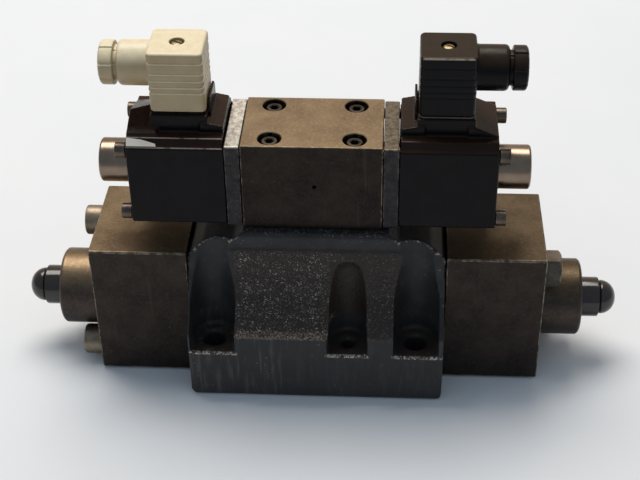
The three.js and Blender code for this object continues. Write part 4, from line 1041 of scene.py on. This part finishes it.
def gland_nut(name, side, material):
    """A nut with flutes round its rim, on a threaded neck."""
    low, high = box_mm(f"gland_nut_{name}")
    radius = (high.z - low.z) / 2
    outer = high.x if side > 0 else low.x
    ribs, groove_depth, groove_share = 8, 0.55, 0.22
    shoulder = -7.0

    def ribbed(along, r, angle):
        if r < radius - 2.4 or along < shoulder - 0.05:
            return r
        swing = abs(math.cos(ribs * angle / 2))
        groove = max(0.0, 1 - swing / groove_share)
        return r - groove_depth * groove * (2 - groove)

    profile = [(-17.6, 5), (-17.6, 6.9), (-17.3, 7.2), (-8.6, 7.2), (-8.6, 8.4), (shoulder, 8.4)]
    profile += [(shoulder, radius - 0.8), (-6.8, radius - 0.3), (-6.4, radius), (-1.6, radius)]
    profile += [(-0.9, radius - 0.2), (-0.35, radius - 0.8), (-0.05, radius - 1.6), (0, radius - 2.3)]
    profile += [(0, 5.6), (-0.5, 5)]
    body = lathe("gland_nut", profile, (outer, 0, GLAND_Z), "x", side, 160, ribbed)
    fit(body, f"gland_nut_{name}", FIXED, material, 30)


# ---------------------------------------------------------------- assembly
def build_valve():
    casting()
    for port in "ptabxy":
        port_seal(port)
    for name, side in SIDES.items():
        end_cap(name, side)
        stroke_housing(name, side)
        stroke_screw(name, side)
        dome_cap(name, side)
        coil(name, side)
        armature_tube(name, side)
        override_pin(name, side)
        plug_screw(name)
        for number in (1, 2, 3, 4):
            socket_screw(f"coil_screw_{name}_{number}", "x", side, 5, MATERIALS["screw"])
    for height in ("top", "bottom"):
        socket_screw(f"cap_bolt_left_{height}", "x", -1, 10, MATERIALS["bolt"])
    socket_screw("cap_bolt_right_bottom", "x", 1, 10, MATERIALS["bolt"])
    hexagon_bolt("cap_bolt_right_top", 1, 10, MATERIALS["hexagon"])
    pilot_block()
    for number in (1, 2, 3, 4):
        socket_screw(f"pilot_screw_{number}", "z", 1, 5, MATERIALS["black_bolt"])
    plug("left", -1, MATERIALS["ivory"], 0.66)
    plug("right", 1, MATERIALS["black"], 0.22)
    gland_nut("left", -1, MATERIALS["ivory"])
    gland_nut("right", 1, MATERIALS["black"])
    flange_plate("left", MATERIALS["zinc"])
    flange_plate("right", MATERIALS["shaded_brown_zinc"])
    plug_gasket("left", MATERIALS["rubber"])
    plug_gasket("right", MATERIALS["highlight_grey_rubber"])
    blank_label()


def paint_hidden_nodes():
    """The inner pieces keep their CAD shape and get a finish of their own."""
    finishes = {
        "main_spool": "bright", "spring_plate": "bright", "pilot_spool": "bright", "armature": "bright",
        "main_spring": "spring", "pilot_spring": "spring", "cap_seal": "rubber",
    }
    for name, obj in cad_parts.items():
        for start, finish in finishes.items():
            if name.startswith(start) and not name.startswith("armature_tube"):
                obj.data.materials.clear()
                obj.data.materials.append(MATERIALS[finish])


# ---------------------------------------------------------------- studio
def floor_material():
    g = Graph("pale_floor")
    colour = g.mix(g.ramp(g.noise(90, 3), 0.3, 0.7), (0.80, 0.825, 0.855), (0.82, 0.84, 0.865))
    g.shader.inputs["Specular IOR Level"].default_value = 0.15
    return g.finish(base_color=colour, roughness=g.ramp(g.noise(60, 3), 0.3, 0.7, 0.6, 0.7))


def studio():
    bm = bmesh.new()
    reach = 6.0        # metres
    corners = [(-reach, -reach, 0), (reach, -reach, 0), (reach, reach, 0), (-reach, reach, 0)]
    bm.faces.new([bm.verts.new(corner) for corner in corners])
    floor = new_object("floor", bm)
    floor.data.materials.append(floor_material())


def area_light(name, place, aim, size, power, colour):
    data = bpy.data.lights.new(name, "AREA")
    data.shape = "RECTANGLE"
    data.size, data.size_y = size
    data.energy = power
    data.color = colour
    light = bpy.data.objects.new(name, data)
    light.location = place
    light.rotation_euler = (Vector(aim) - Vector(place)).to_track_quat("-Z", "Y").to_euler()
    bpy.context.scene.collection.objects.link(light)


def lights():
    """A warm softbox high behind and to the left, and a room that is warm at the back and cool in front."""
    world = bpy.data.worlds.new("studio")
    world.use_nodes = True
    tree = world.node_tree
    background = tree.nodes["Background"]
    split = tree.nodes.new("ShaderNodeSeparateXYZ")
    ramp = tree.nodes.new("ShaderNodeValToRGB")
    tree.links.new(tree.nodes.new("ShaderNodeTexCoord").outputs["Generated"], split.inputs[0])
    tree.links.new(split.outputs[1], ramp.inputs[0])
    ramp.color_ramp.elements[0].color = (0.26, 0.315, 0.375, 1)
    ramp.color_ramp.elements[1].position = 0.75
    ramp.color_ramp.elements[1].color = (0.60, 0.52, 0.43, 1)
    tree.links.new(ramp.outputs[0], background.inputs["Color"])
    background.inputs["Strength"].default_value = 1.0
    bpy.context.scene.world = world
    area_light("softbox", (-0.34, 0.86, 2.12), (0, -0.4, 0.0), (1.9, 1.1), 45, (1.0, 0.945, 0.88))


def camera():
    """Looks along +Y, pitched down, turned a little to the left and rolled a little."""
    place = (0.036353, -0.558453, 0.474700)
    pitch, yaw, roll = 0.632, 0.063, -0.016
    forward = Vector((-math.sin(yaw) * math.cos(pitch), math.cos(yaw) * math.cos(pitch), -math.sin(pitch)))
    right = Vector((math.cos(yaw), math.sin(yaw), 0))
    up = right.cross(forward)
    turned_right = math.cos(roll) * right + math.sin(roll) * up
    turned_up = -math.sin(roll) * right + math.cos(roll) * up
    data = bpy.data.cameras.new("camera")
    data.lens = 76.16
    data.sensor_width = 36
    obj = bpy.data.objects.new("camera", data)
    axes = Matrix((turned_right, turned_up, -forward)).transposed()
    obj.matrix_world = Matrix.Translation(place) @ axes.to_4x4()
    bpy.context.scene.collection.objects.link(obj)
    bpy.context.scene.camera = obj


bpy.context.scene.view_settings.view_transform = "Standard"
build_valve()
paint_hidden_nodes()
studio()
lights()
camera()
